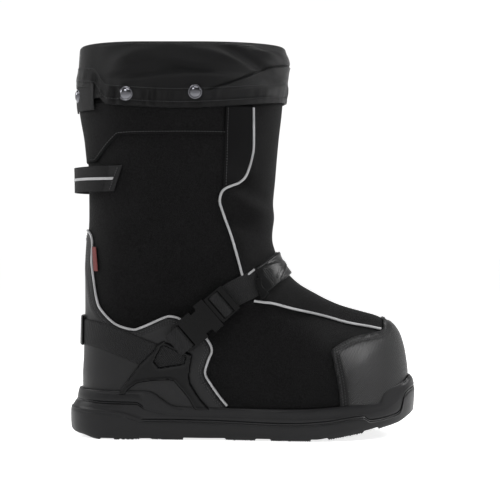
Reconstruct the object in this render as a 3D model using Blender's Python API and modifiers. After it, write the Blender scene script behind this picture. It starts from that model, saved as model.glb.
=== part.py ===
"""Winter overshoe: an insulated overshoe for the right foot that buckles over an indoor shoe.

A moulded rubber cup sole carries a padded fabric upper. Rubber panels cover toe and heel,
a nylon cuff folds over the top of the shaft, and one buckled strap crosses the ankle.
Metres, +Z up, toe towards +X, buckled outer side towards -Y. The origin is on the floor
under the middle of the sole. Solids that would touch keep a gap of 0.3 mm.
"""
import math

import bpy
import bmesh
import numpy as np
from mathutils import Matrix, Vector

# Driving sizes.
SOLE_LENGTH = 0.345
SOLE_WIDTH = 0.130
CUP_HEIGHT = 0.048        # floor to the top of the sole's cup at the heel
INSTEP_HEIGHT = 0.162     # floor to the bend in front of the ankle
SHAFT_HEIGHT = 0.330      # floor to the top edge of the padded shaft
RIM_HEIGHT = 0.3853       # floor to the fold of the cuff
TOE_BOX_LEVEL = 0.075     # rows below this height follow the toe spring

# Walls, layers and clearances.
GAP = 0.0003
UPPER_WALL = 0.0025
SOLE_LIP = 0.0050         # how far the upper stands in from the sole's side outline
INSOLE_THICKNESS = 0.004
PANEL_THICKNESS = 0.0011
TOE_CAP_THICKNESS = 0.0015
YOKE_THICKNESS = 0.0007
LABEL_THICKNESS = 0.0008
ANCHOR_THICKNESS = 0.0020
PAD_THICKNESS = 0.0015
KEEPER_THICKNESS = 0.0014
PIPING_RADIUS = 0.0011
PIPING_LIFT = PIPING_RADIUS + 3 * GAP
WEBBING_WIDTH = 0.025
WEBBING_THICKNESS = 0.0013
CUFF_THICKNESS = 0.0012
CUFF_HEM = 0.321          # height of the cuff's hem on the sides of the shaft
CUFF_HEM_RISE = 0.009     # how much higher the hem is at front and back
PULL_STANDOFF = 0.0130    # finger room between the shaft and the pull loop
SNAP_RADIUS = 0.0070
SNAP_HEIGHT = 0.0030
TAB_THICKNESS = 0.0011

# Tread.
LUG_DEPTH = 0.006
FOREFOOT_LUG_DEPTH = 0.003
CHANNEL_WIDTH = 0.012
CHANNEL_DEPTH = 0.004

# Buckle.
BUCKLE_LENGTH = 0.065
BUCKLE_WIDTH = 0.033
BUCKLE_THICKNESS = 0.0070
BUCKLE_TILT = math.radians(41.0)
BUCKLE_LIFT = 0.0036      # underside of the buckle above the upper's surface
FEMALE_SHARE = 0.655      # share of the buckle's length that the receiving half takes
FLAP_LENGTH = 0.0085      # how far the sewn flap of webbing reaches past the buckle

# How finely the curved forms are divided.
COLUMNS = 36
SOLE_STATIONS = 26

SECOND_LAYER = GAP + PANEL_THICKNESS + GAP
STRAP_LAYER = GAP
PAD_LAYER = STRAP_LAYER + WEBBING_THICKNESS + 2.5 * GAP
KEEPER_LAYER = SECOND_LAYER + WEBBING_THICKNESS + 2 * GAP
FULL_WIDTH = 0.75 * SOLE_WIDTH

# Plan of the foot. Columns: along (share of sole length from the middle), centre and half
# width (shares of sole width; the inner side of the foot is positive).
FOOT_PLAN = [
    (-0.50, 0.010, 0.365),
    (-0.36, 0.008, 0.372),
    (-0.20, -0.022, 0.352),
    (-0.08, -0.050, 0.354),
    (0.04, -0.046, 0.404),
    (0.14, -0.014, 0.474),
    (0.21, -0.001, 0.498),
    (0.30, 0.020, 0.482),
    (0.40, 0.070, 0.455),
    (0.50, 0.105, 0.410),
]

# Side outline of the upper. Columns: level (0 to 1 from floor to instep, 1 to 2 from there
# to the shaft's top, 2 to 3 from there to the rim), back and front (shares of sole length).
SIDE_OUTLINE = [
    (0.000, -0.457, 0.472),
    (0.370, -0.461, 0.474),
    (0.506, -0.458, 0.466),
    (0.605, -0.457, 0.453),
    (0.667, -0.456, 0.435),
    (0.728, -0.455, 0.390),
    (0.765, -0.454, 0.332),
    (0.802, -0.454, 0.274),
    (0.852, -0.454, 0.217),
    (0.920, -0.454, 0.161),
    (1.000, -0.454, 0.125),
    (1.095, -0.452, 0.097),
    (1.190, -0.449, 0.086),
    (1.333, -0.446, 0.085),
    (1.571, -0.447, 0.093),
    (1.762, -0.455, 0.101),
    (2.000, -0.471, 0.113),
    (2.300, -0.471, 0.117),
    (3.000, -0.465, 0.115),
]

# Fullness of the upper. Columns: level, share of the foot's plan, half width of the shaft
# (share of sole width), rounding length at back and front (shares of sole length).
FULLNESS = [
    (0.00, 1.00, 0.370, 0.140, 0.215),
    (0.50, 1.00, 0.372, 0.145, 0.205),
    (0.75, 0.85, 0.378, 0.150, 0.185),
    (1.00, 0.45, 0.388, 0.165, 0.195),
    (1.25, 0.10, 0.400, 0.180, 0.225),
    (1.60, 0.00, 0.412, 0.190, 0.250),
    (2.00, 0.00, 0.425, 0.190, 0.255),
    (3.00, 0.00, 0.430, 0.190, 0.255),
]

# Lines of the sole. Columns: along (share of sole length), height (share of cup height).
BOTTOM_LINE = [(-0.500, 0.156), (-0.477, 0.102), (-0.454, 0.077), (-0.420, 0.012), (-0.405, 0.0),
               (0.200, 0.0), (0.235, 0.031), (0.335, 0.142), (0.383, 0.210), (0.441, 0.300),
               (0.475, 0.410), (0.500, 0.500)]
STEP_LINE = [(-0.500, 0.625), (-0.400, 0.580), (-0.340, 0.530), (-0.305, 0.450), (-0.280, 0.415),
             (-0.180, 0.415), (0.130, 0.369), (0.226, 0.412), (0.328, 0.490), (0.357, 0.425),
             (0.423, 0.480), (0.455, 0.620), (0.480, 0.780), (0.500, 0.850)]
GROOVE_LINE = [(-0.500, 0.806), (-0.400, 0.770), (-0.320, 0.758), (-0.280, 0.670), (-0.240, 0.590),
               (-0.200, 0.540), (0.200, 0.505), (0.400, 0.660), (0.455, 0.860), (0.500, 1.020)]
TOP_LINE = [(-0.500, 1.000), (-0.430, 0.990), (-0.272, 0.985), (-0.250, 0.940), (-0.229, 0.830),
            (-0.203, 0.710), (-0.180, 0.672), (-0.116, 0.656), (0.116, 0.640), (0.174, 0.648),
            (0.270, 0.700), (0.383, 0.777), (0.397, 0.880), (0.430, 0.980), (0.464, 1.125),
            (0.482, 1.230), (0.500, 1.270)]
FEATHER_LINE = [(-0.500, 0.354), (0.260, 0.354), (0.350, 0.415), (0.420, 0.500), (0.475, 0.610),
                (0.500, 0.640)]
GROOVE_FADE = [(-0.300, 1.0), (-0.240, 0.0)]

# Steps in the sole's side, from the floor up. Columns: line, lift over it, and how far the
# row stands in at the heel, the sides and the toe.
SOLE_ROWS = [
    (BOTTOM_LINE, 0.0000, 0.0024, 0.0022, 0.0035),
    (BOTTOM_LINE, 0.0022, 0.0006, 0.0004, 0.0012),
    (STEP_LINE, -0.0014, 0.0004, 0.0000, 0.0000),
    (STEP_LINE, -0.0006, 0.0014, 0.0013, 0.0013),
    (STEP_LINE, 0.0006, 0.0014, 0.0013, 0.0013),
    (STEP_LINE, 0.0014, 0.0012, 0.0006, 0.0004),
    (GROOVE_LINE, -0.0012, 0.0062, 0.0010, 0.0014),
    (GROOVE_LINE, 0.0000, 0.0070, 0.0013, 0.0018),
    (GROOVE_LINE, 0.0012, 0.0070, 0.0013, 0.0020),
    (TOP_LINE, -0.0012, 0.0086, 0.0016, 0.0046),
    (TOP_LINE, 0.0000, 0.0096, 0.0026, 0.0058),
]
GROOVE_DEPTH = 0.0011

# Gaps between the lugs. Columns: from, to (shares of sole length), depth.
LUG_GAPS = [
    (-0.403, -0.365, LUG_DEPTH),
    (-0.290, -0.261, LUG_DEPTH),
    (-0.168, -0.049, 0.6 * LUG_DEPTH),
    (0.035, 0.075, FOREFOOT_LUG_DEPTH),
    (0.188, 0.235, FOREFOOT_LUG_DEPTH),
    (0.336, 0.380, FOREFOOT_LUG_DEPTH),
]

# Heights of the upper's rows, as levels of the side outline.
UPPER_LEVELS = [0.105, 0.20, 0.32, 0.463, 0.56, 0.63, 0.68, 0.715, 0.745, 0.77, 0.80, 0.835, 0.88,
                0.94, 1.01, 1.10, 1.22, 1.38, 1.55, 1.73, 1.87, 2.0]

# Outlines in the side view. Columns: along (share of sole length), level.
TOE_CAP_EDGE = [(0.401, 0.730), (0.396, 0.657), (0.366, 0.637), (0.315, 0.618), (0.286, 0.593),
                (0.252, 0.550), (0.246, 0.516), (0.254, 0.448), (0.263, 0.328), (0.270, 0.200)]
COUNTER_EDGE = [(-0.446, 1.246), (-0.433, 1.220), (-0.427, 1.172), (-0.429, 1.061), (-0.423, 0.954),
                (-0.414, 0.838), (-0.401, 0.775), (-0.361, 0.693), (-0.314, 0.660), (-0.285, 0.673),
                (-0.227, 0.727), (-0.202, 0.738), (-0.170, 0.715), (-0.135, 0.665), (-0.102, 0.602),
                (-0.088, 0.538), (-0.098, 0.477), (-0.107, 0.400), (-0.091, 0.334), (-0.066, 0.258),
                (-0.045, 0.205)]
SHAFT_SEAM = [(0.028, 1.955), (0.028, 1.740), (0.018, 1.624), (0.006, 1.552), (-0.025, 1.507),
              (-0.059, 1.464), (-0.065, 1.418), (-0.059, 1.358), (-0.033, 1.208), (-0.008, 1.020)]
VAMP_SEAM = [(0.033, 0.833), (0.084, 0.819), (0.126, 0.796), (0.209, 0.748), (0.293, 0.702),
             (0.355, 0.675), (0.388, 0.658)]
LABEL_EDGE = [(-0.047, 1.985), (-0.057, 1.485)]
YOKE_EDGE = [(-0.458, 1.655), (-0.429, 1.667), (-0.412, 1.712), (-0.374, 1.780), (-0.336, 1.807),
             (-0.174, 1.812), (-0.0535, 1.810)]
STRAP_ROUTE = [(-0.211, 0.527), (-0.175, 0.600), (-0.105, 0.728), (-0.038, 0.857), (0.013, 0.915),
               (0.053, 0.959), (0.081, 1.003), (0.116, 1.060), (0.160, 1.140)]
HEEL_STRAP_ROUTE = [(-0.520, 0.645), (-0.472, 0.642), (-0.403, 0.623), (-0.345, 0.580),
                    (-0.290, 0.531), (-0.246, 0.494)]
PAD_EDGE = [(0.033, 1.021), (0.077, 1.089), (0.160, 1.220), (0.200, 1.100), (0.150, 1.010),
            (0.077, 0.896), (0.053, 0.859)]
ANCHOR_EDGE = [(-0.352, 0.270), (-0.342, 0.307), (-0.292, 0.452), (-0.249, 0.544), (-0.238, 0.575),
               (-0.224, 0.590), (-0.142, 0.509), (-0.151, 0.384), (-0.133, 0.289),
               (-0.119, 0.244), (-0.092, 0.180), (-0.135, 0.180), (-0.156, 0.256), (-0.174, 0.302),
               (-0.195, 0.351), (-0.263, 0.351), (-0.299, 0.338), (-0.324, 0.300), (-0.332, 0.270)]
ANCHOR_WINDOW = [(-0.256, 0.464), (-0.233, 0.545), (-0.166, 0.478), (-0.168, 0.452)]

collection = None
cutters = None


def start():
    """Clears the scene and makes the two collections."""
    global collection, cutters
    for old in list(bpy.data.objects):
        bpy.data.objects.remove(old, do_unlink=True)
    collection = bpy.data.collections.new("winter_overshoe")
    cutters = bpy.data.collections.new("cutters")
    bpy.context.scene.collection.children.link(collection)
    bpy.context.scene.collection.children.link(cutters)


def material(name, colour, roughness, metallic=0.0):
    """A plain Principled material, made once for each name."""
    made = bpy.data.materials.get(name)
    if made is None:
        made = bpy.data.materials.new(name)
        made.use_nodes = True
        shader = made.node_tree.nodes["Principled BSDF"]
        shader.inputs["Base Color"].default_value = (*colour, 1.0)
        shader.inputs["Roughness"].default_value = roughness
        shader.inputs["Metallic"].default_value = metallic
    return made


def add_mesh(name, mesh_data, look=None):
    """Puts a bmesh into a named object: a part with its look, or a cutter without one."""
    mesh = bpy.data.meshes.new(name)
    mesh_data.to_mesh(mesh)
    mesh_data.free()
    made = bpy.data.objects.new(name, mesh)
    if look is None:
        cutters.objects.link(made)
        made.hide_render = True
        made.display_type = 'WIRE'
        return made
    collection.objects.link(made)
    own = material(f"{name} {look[0]}", *look[1:])
    mesh.materials.append(own)
    mesh.shade_smooth()
    mesh.set_sharp_from_angle(angle=math.radians(40.0))
    return made


def boolean(made, operation, cutter):
    """Cuts, joins or crops a part with another solid."""
    step = made.modifiers.new(operation.title(), 'BOOLEAN')
    step.operation = operation
    step.object = cutter
    return step


def smooth_value(table, at, column=1):
    """One column of a table at a place in its first column, on a curve without overshoot."""
    if at <= table[0][0]:
        return table[0][column]
    if at >= table[-1][0]:
        return table[-1][column]
    k = next(i for i in range(1, len(table)) if at <= table[i][0]) - 1

    def slope(i):
        return (table[i + 1][column] - table[i][column]) / (table[i + 1][0] - table[i][0])

    def tangent(i):
        if i == 0 or i == len(table) - 1:
            return slope(min(i, len(table) - 2))
        before, after = slope(i - 1), slope(i)
        if before * after <= 0.0:
            return 0.0
        return 2.0 * before * after / (before + after)

    span = table[k + 1][0] - table[k][0]
    t = (at - table[k][0]) / span
    start_value, end_value = table[k][column], table[k + 1][column]
    return (start_value * (1 + 2 * t) * (1 - t) ** 2 + span * tangent(k) * t * (1 - t) ** 2
            + end_value * t * t * (3 - 2 * t) + span * tangent(k + 1) * t * t * (t - 1))


def smooth_route(points, pieces=3):
    """Points on a smooth curve through hand-chosen points."""
    route = []
    last = len(points) - 1
    for k in range(last):
        a, b, c, d = (np.array(points[min(max(i, 0), last)]) for i in (k - 1, k, k + 1, k + 2))
        for j in range(pieces):
            t = j / pieces
            route.append(tuple(0.5 * (2 * b + (c - a) * t + (2 * a - 5 * b + 4 * c - d) * t ** 2
                                      + (3 * b - a - 3 * c + d) * t ** 3)))
    route.append(tuple(points[-1]))
    return route


def height(level):
    """Height above the floor of a level of the side outline."""
    marks = [0.0, INSTEP_HEIGHT, SHAFT_HEIGHT, RIM_HEIGHT]
    k = min(max(int(level), 0), 2)
    return marks[k] + (level - k) * (marks[k + 1] - marks[k])


def level_at(z):
    """Level of the side outline at a height above the floor."""
    marks = [0.0, INSTEP_HEIGHT, SHAFT_HEIGHT, RIM_HEIGHT]
    k = 0 if z < marks[1] else 1 if z < marks[2] else 2
    return k + (z - marks[k]) / (marks[k + 1] - marks[k])


def side_places(points, pieces=0):
    """Turns (along, level) pairs into (x, z) in metres, along a smooth curve if asked."""
    places = [(along * SOLE_LENGTH, height(level)) for along, level in points]
    return smooth_route(places, pieces) if pieces else places


def sole_line(line, x):
    """Height of one of the sole's lines at a place along it."""
    return smooth_value(line, x / SOLE_LENGTH) * CUP_HEIGHT


def rounding(distance, length, power=2.15):
    """How far an outline has opened at a distance from its rounded end, from 0 to 1."""
    share = min(max(distance / length, 0.0), 1.0)
    return (1.0 - (1.0 - share) ** power) ** (1.0 / power)


def back_at(z):
    """Back of the upper's side outline at a height."""
    return smooth_value(SIDE_OUTLINE, level_at(z), 1) * SOLE_LENGTH


def front_at(z):
    """Front of the upper's side outline at a height."""
    return smooth_value(SIDE_OUTLINE, level_at(z), 2) * SOLE_LENGTH


def outline_trace(edge):
    """Closely spaced points down one edge of the side outline, for measuring distances."""
    heights = np.linspace(0.0, RIM_HEIGHT, 500)
    return np.array([(edge(z), z) for z in heights])


BACK_TRACE = outline_trace(back_at)
FRONT_TRACE = outline_trace(front_at)


def distance_to(trace, x, z):
    """Shortest distance from a point in the side view to one edge of the outline."""
    start_points = trace[:-1]
    steps = trace[1:] - start_points
    offsets = np.array([x, z]) - start_points
    shares = np.clip((offsets * steps).sum(1) / (steps * steps).sum(1), 0.0, 1.0)
    nearest = offsets - steps * shares[:, None]
    return math.sqrt((nearest * nearest).sum(1).min())


def half_width(x, z):
    """Centre and half width of the upper at a point of the side view."""
    level = level_at(z)
    along = x / SOLE_LENGTH
    foot, shaft, back_round, front_round = (smooth_value(FULLNESS, level, k) for k in range(1, 5))
    foot_centre = smooth_value(FOOT_PLAN, along, 1) * SOLE_WIDTH
    foot_half = smooth_value(FOOT_PLAN, along, 2) * SOLE_WIDTH - SOLE_LIP
    full = foot * foot_half + (1.0 - foot) * shaft * SOLE_WIDTH
    open_back = rounding(distance_to(BACK_TRACE, x, z), back_round * SOLE_LENGTH)
    open_front = rounding(distance_to(FRONT_TRACE, x, z), front_round * SOLE_LENGTH)
    return foot * foot_centre, full * open_back * open_front


def row_height(z, x):
    """Height of a row at a place along the foot: low rows rise with the toe spring."""
    if z >= TOE_BOX_LEVEL:
        return z
    feather = sole_line(FEATHER_LINE, x)
    base = FEATHER_LINE[0][1] * CUP_HEIGHT
    return feather + (TOE_BOX_LEVEL - feather) * (z - base) / (TOE_BOX_LEVEL - base)


def row_ends(z):
    """Back and front ends of a row, on the side outline at their own heights."""
    back, front = back_at(z), front_at(z)
    for _ in range(4):
        back = back_at(row_height(z, back))
        front = front_at(row_height(z, front))
    return back, front


def skin(turn, z):
    """Point on the upper's surface. Turn 0 is the back, 90 the outer side, 180 the front."""
    back, front = row_ends(z)
    angle = math.radians(turn)
    x = 0.5 * (back + front) - 0.5 * (front - back) * math.cos(angle)
    centre, half = half_width(x, row_height(z, x))
    at_end = abs(math.sin(angle)) < 1e-6
    side = 0.0 if at_end else -math.copysign(half, math.sin(angle))
    return Vector((x, centre + side, row_height(z, x)))


def skin_normal(turn, z):
    """Outward normal of the upper's surface."""
    across = skin(turn + 2.0, z) - skin(turn - 2.0, z)
    up = skin(turn, z + 0.001) - skin(turn, z - 0.001)
    return across.cross(up).normalized()


def over_skin(turn, z, offset):
    """Point at an offset outside the upper's surface."""
    return skin(turn, z) + skin_normal(turn, z) * offset


def turn_at(x, z, outer=True):
    """Turn that reaches a place along the foot at a height, on the outer or inner side."""
    back, front = row_ends(z)
    share = min(max((0.5 * (back + front) - x) / (0.5 * (front - back)), -1.0), 1.0)
    turn = math.degrees(math.acos(share))
    return turn if outer else 360.0 - turn


def over_side(x, z, offset, outer=True):
    """Point at an offset outside the surface, found by its place in the side view."""
    return over_skin(turn_at(x, z, outer), z, offset)


def loft(rings, closed_rows=False, caps=True):
    """Triangle mesh through rings of points. Caps join the two sides station by station."""
    data = bmesh.new()
    rows = [[data.verts.new(point) for point in ring] for ring in rings]
    count = len(rows[0])
    pairs = list(zip(rows, rows[1:]))
    if closed_rows:
        pairs.append((rows[-1], rows[0]))
    for low, high in pairs:
        for k in range(count):
            n = (k + 1) % count
            data.faces.new((low[k], low[n], high[n]))
            data.faces.new((low[k], high[n], high[k]))
    if caps and not closed_rows:
        for row in (rows[0], rows[-1]):
            for k in range(count // 2):
                corners = [row[k], row[k + 1], row[-(k + 1)], row[-k]]
                distinct = [v for i, v in enumerate(corners) if v not in corners[:i]]
                data.faces.new(distinct)
    bmesh.ops.triangulate(data, faces=[f for f in data.faces if len(f.verts) > 3])
    bmesh.ops.recalc_face_normals(data, faces=data.faces)
    return data


def skin_rings(heights, offset):
    """Rings of points around the upper at an offset, which may be a function of the point."""
    rings = []
    for z in heights:
        ring = []
        for k in range(COLUMNS):
            turn = 360.0 * k / COLUMNS
            lift = offset(skin(turn, z)) if callable(offset) else offset
            ring.append(over_skin(turn, z, lift))
        rings.append(ring)
    return rings


def skin_shell(name, look, bottom, top, offset, thickness):
    """Closed band around the upper, on its own rows, between two offsets of its surface."""
    rows = [height(level) for level in UPPER_LEVELS]
    inside = [z for z in rows if bottom + 0.001 < z < top - 0.001]
    heights = [bottom, *inside, top]
    data = loft(skin_rings(heights, offset), caps=False)
    made = add_mesh(name, data, look)
    wall = made.modifiers.new("Wall", 'SOLIDIFY')
    wall.thickness = thickness
    wall.offset = 1.0
    return made


def prism(name, outline, low=-FULL_WIDTH, high=FULL_WIDTH):
    """Cutter with an outline of the side view, carried across the shoe from low to high."""
    data = bmesh.new()
    face = data.faces.new([data.verts.new((x, low, z)) for x, z in outline])
    grown = bmesh.ops.extrude_face_region(data, geom=[face])
    moved = [item for item in grown["geom"] if isinstance(item, bmesh.types.BMVert)]
    bmesh.ops.translate(data, verts=moved, vec=(0.0, high - low, 0.0))
    bmesh.ops.recalc_face_normals(data, faces=data.faces)
    return add_mesh(name, data)


def offset_route(route, distance):
    """A side-view route moved to its left by a distance."""
    moved = []
    for k, (x, z) in enumerate(route):
        before = route[max(k - 1, 0)]
        after = route[min(k + 1, len(route) - 1)]
        direction = Vector((after[0] - before[0], after[1] - before[1])).normalized()
        moved.append((x - direction.y * distance, z + direction.x * distance))
    return moved


def band(route, half):
    """Closed outline of a band along a side-view route."""
    return offset_route(route, half) + offset_route(route, -half)[::-1]


def sole_space():
    """Cutter for all that the sole takes, with the gap over its top line."""
    _, _, heel_in, _, toe_in = SOLE_ROWS[-1]
    middle, half = 0.5 * (heel_in - toe_in), 0.5 * (SOLE_LENGTH - heel_in - toe_in)
    xs = [middle - half * math.cos(math.pi * k / SOLE_STATIONS) for k in range(SOLE_STATIONS + 1)]
    line = [(x, sole_line(TOP_LINE, x) + GAP) for x in xs]
    far = 0.1 * SOLE_LENGTH
    outline = [(xs[0] - far, line[0][1]), *line, (xs[-1] + far, line[-1][1]),
               (xs[-1] + far, -CUP_HEIGHT), (xs[0] - far, -CUP_HEIGHT)]
    return prism("sole_space", outline)


def sole_ring(line, lift, heel_in, side_in, toe_in):
    """One row of points around the sole."""
    back, front = -0.5 * SOLE_LENGTH + heel_in, 0.5 * SOLE_LENGTH - toe_in
    ring = []
    for k in range(2 * SOLE_STATIONS):
        angle = math.pi * k / SOLE_STATIONS
        x = 0.5 * (back + front) - 0.5 * (front - back) * math.cos(angle)
        along = x / SOLE_LENGTH
        inward = side_in
        if line is GROOVE_LINE and lift == 0.0:
            inward += GROOVE_DEPTH * smooth_value(GROOVE_FADE, along)
        half = smooth_value(FOOT_PLAN, along, 2) * SOLE_WIDTH - inward
        half *= rounding(x - back, 0.15 * SOLE_LENGTH) * rounding(front - x, 0.25 * SOLE_LENGTH)
        centre = smooth_value(FOOT_PLAN, along, 1) * SOLE_WIDTH
        ring.append((x, centre - math.sin(angle) / max(abs(math.sin(angle)), 1e-9) * half,
                     sole_line(line, x) + lift))
    return ring


def outsole():
    """Rubber cup sole with toe spring, heel, stepped side and lugs."""
    look = ("rubber", (0.035, 0.035, 0.038), 0.55)
    made = add_mesh("outsole", loft([sole_ring(*row) for row in SOLE_ROWS]), look)
    seat = FEATHER_LINE[0][1] * CUP_HEIGHT
    heights = [seat - GAP] + [height(level) for level in UPPER_LEVELS[1:5]]
    cavity = add_mesh("cavity", loft(skin_rings(heights, GAP)))
    boolean(made, 'DIFFERENCE', cavity)
    for k, (start_share, end_share, depth) in enumerate(LUG_GAPS):
        middle = 0.5 * (start_share + end_share) * SOLE_LENGTH
        slant = 0.15 * depth
        floor = sole_line(BOTTOM_LINE, middle)
        low, high = floor - CUP_HEIGHT, floor + depth
        left, right = start_share * SOLE_LENGTH, end_share * SOLE_LENGTH
        outline = [(left - slant, low), (right + slant, low), (right - slant, high),
                   (left + slant, high)]
        boolean(made, 'DIFFERENCE', prism(f"lug_gap_{k}", outline))
    for k, (start_share, end_share) in enumerate(((-0.365, -0.290), (-0.02, 0.336))):
        points = [(start_share * SOLE_LENGTH, -CUP_HEIGHT), (end_share * SOLE_LENGTH, -CUP_HEIGHT)]
        line = [(x, sole_line(BOTTOM_LINE, x) + CHANNEL_DEPTH)
                for x in (end_share * SOLE_LENGTH, 0.235 * SOLE_LENGTH, start_share * SOLE_LENGTH)
                if x >= start_share * SOLE_LENGTH and x <= end_share * SOLE_LENGTH]
        channel = prism(f"channel_{k}", points + line, -0.5 * CHANNEL_WIDTH, 0.5 * CHANNEL_WIDTH)
        boolean(made, 'DIFFERENCE', channel)


def upper():
    """Padded fabric upper: one hollow wall, open at the collar and underneath."""
    heights = [height(level) for level in UPPER_LEVELS]
    heights[0] = FEATHER_LINE[0][1] * CUP_HEIGHT
    data = loft(skin_rings(heights, 0.0), caps=False)
    made = add_mesh("upper", data, ("fabric", (0.018, 0.018, 0.020), 0.85))
    wall = made.modifiers.new("Wall", 'SOLIDIFY')
    wall.thickness = UPPER_WALL
    wall.offset = -1.0


def insole():
    """Felt insole lying inside the upper on the sole's floor."""
    seat = FEATHER_LINE[0][1] * CUP_HEIGHT
    heights = [seat, seat + INSOLE_THICKNESS]
    data = loft(skin_rings(heights, -(UPPER_WALL + 2 * GAP)))
    add_mesh("insole", data, ("felt", (0.06, 0.06, 0.065), 0.95))


def crop(made, name, outline, low=-FULL_WIDTH, high=FULL_WIDTH):
    """Keeps what lies inside an outline of the side view."""
    boolean(made, 'INTERSECT', prism(name, outline, low, high))


def toe_cap(space):
    """Textured rubber cap over the toe."""
    edge = side_places(TOE_CAP_EDGE, 2)
    beyond = 0.56 * SOLE_LENGTH
    outline = [(beyond, height(0.85)), (0.43 * SOLE_LENGTH, height(0.85)), *edge,
               (edge[-1][0], 0.0), (beyond, 0.0)]
    look = ("rubber", (0.030, 0.030, 0.033), 0.6)
    made = skin_shell("toe_cap", look, height(0.17), height(0.80), GAP, TOE_CAP_THICKNESS)
    crop(made, "toe_cap_outline", outline)
    boolean(made, 'DIFFERENCE', space)


def counter_route():
    """Side-view route of the counter's piping, down to the sole."""
    route = side_places(COUNTER_EDGE, 1)
    return [(x, z) for x, z in route if z > sole_line(TOP_LINE, x) + PIPING_RADIUS + 2 * GAP]


def counter(space):
    """Rubberised panel around the heel, up to the piping."""
    piped = [over_side(x, z, PIPING_LIFT) for x, z in counter_route()]
    edge = offset_route([(p.x, p.z) for p in piped], -(PIPING_RADIUS + 2 * GAP))
    beyond = -0.56 * SOLE_LENGTH
    top = piped[0].z - PIPING_RADIUS - 2 * GAP
    outline = [(beyond, top), (edge[0][0] - 2 * PIPING_RADIUS, top), *edge[1:], (edge[-1][0], 0.0),
               (beyond, 0.0)]
    look = ("rubberised fabric", (0.040, 0.040, 0.042), 0.7)
    made = skin_shell("counter", look, height(0.17), height(1.30), GAP, PANEL_THICKNESS)
    crop(made, "counter_outline", outline)
    boolean(made, 'DIFFERENCE', space)


def yoke():
    """Upper fabric panel of the shaft, lapped over the lower one."""
    edge = side_places(YOKE_EDGE, 2)
    beyond = -0.56 * SOLE_LENGTH
    outline = [(beyond, height(1.655)), *edge, (edge[-1][0], height(2.1)), (beyond, height(2.1))]
    look = ("fabric", (0.018, 0.018, 0.020), 0.85)
    made = skin_shell("yoke", look, height(1.60), height(1.985), GAP, YOKE_THICKNESS)
    crop(made, "yoke_outline", outline)


def label_patch():
    """Plain smooth patch on the outer side, between the yoke and the piping."""
    left, low = side_places(LABEL_EDGE)
    seam = offset_route(side_places(SHAFT_SEAM, 2), -(PIPING_RADIUS + 2 * GAP))
    right = [(x, z) for x, z in seam if z > low[1]]
    outline = [left, low, *right[::-1], (right[0][0], left[1])]
    look = ("rubber", (0.045, 0.045, 0.048), 0.5)
    made = skin_shell("label_patch", look, height(1.40), height(1.985), GAP, LABEL_THICKNESS)
    crop(made, "label_outline", outline, -FULL_WIDTH, 0.0)


def anchor(side, space):
    """Moulded rubber anchor that holds the ends of the straps on one side of the heel."""
    outer = side == "outer"
    low, high = (-FULL_WIDTH, 0.0) if outer else (0.0, FULL_WIDTH)
    look = ("rubber", (0.050, 0.050, 0.053), 0.6)
    made = skin_shell(f"strap_anchor_{side}", look, height(0.17), height(0.70),
                      SECOND_LAYER, ANCHOR_THICKNESS)
    crop(made, f"anchor_outline_{side}", side_places(ANCHOR_EDGE), low, high)
    window = side_places(ANCHOR_WINDOW)
    boolean(made, 'DIFFERENCE', prism(f"anchor_window_{side}", window, low, high))
    boolean(made, 'DIFFERENCE', space)
    look = ("webbing", (0.020, 0.020, 0.022), 0.8)
    strip = skin_shell(f"window_webbing_{side}", look, height(0.42), height(0.58), SECOND_LAYER,
                       WEBBING_THICKNESS)
    closed = offset_route([window[-1], *window, window[0]], -GAP)[1:-1]
    crop(strip, f"window_strip_{side}", closed, low, high)


def anchor_space():
    """Cutter for the anchors with the gap around them."""
    places = side_places(ANCHOR_EDGE)
    closed = offset_route([places[-1], *places, places[0]], GAP)[1:-1]
    return prism("anchor_space", closed)


def heel_strap():
    """Webbing around the back of the heel, from anchor to anchor, and its keeper."""
    half = 0.5 * WEBBING_WIDTH
    look = ("webbing", (0.020, 0.020, 0.022), 0.8)
    made = skin_shell("heel_strap", look, height(0.42), height(0.74), SECOND_LAYER,
                      WEBBING_THICKNESS)
    crop(made, "heel_strap_outline", band(side_places(HEEL_STRAP_ROUTE, 2), half))
    boolean(made, 'DIFFERENCE', anchor_space())
    look = ("moulded plastic", (0.030, 0.030, 0.032), 0.5)
    keeper = skin_shell("heel_keeper", look, height(0.53), height(0.76), KEEPER_LAYER,
                        KEEPER_THICKNESS)
    back, reach = -0.56 * SOLE_LENGTH, -0.40 * SOLE_LENGTH
    low, high = height(0.555), height(0.735)
    crop(keeper, "keeper_outline", [(back, low), (reach, low), (reach, high), (back, high)],
         -0.45 * WEBBING_WIDTH, 0.45 * WEBBING_WIDTH)


def strap_lift(point):
    """Offset of the ankle strap: on the upper in front, over the counter's piping behind."""
    ramp = min(max((0.02 - point.x / SOLE_LENGTH) / 0.07, 0.0), 1.0)
    over_piping = 2 * PIPING_RADIUS + 4 * GAP
    return STRAP_LAYER + (over_piping - STRAP_LAYER) * ramp


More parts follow.
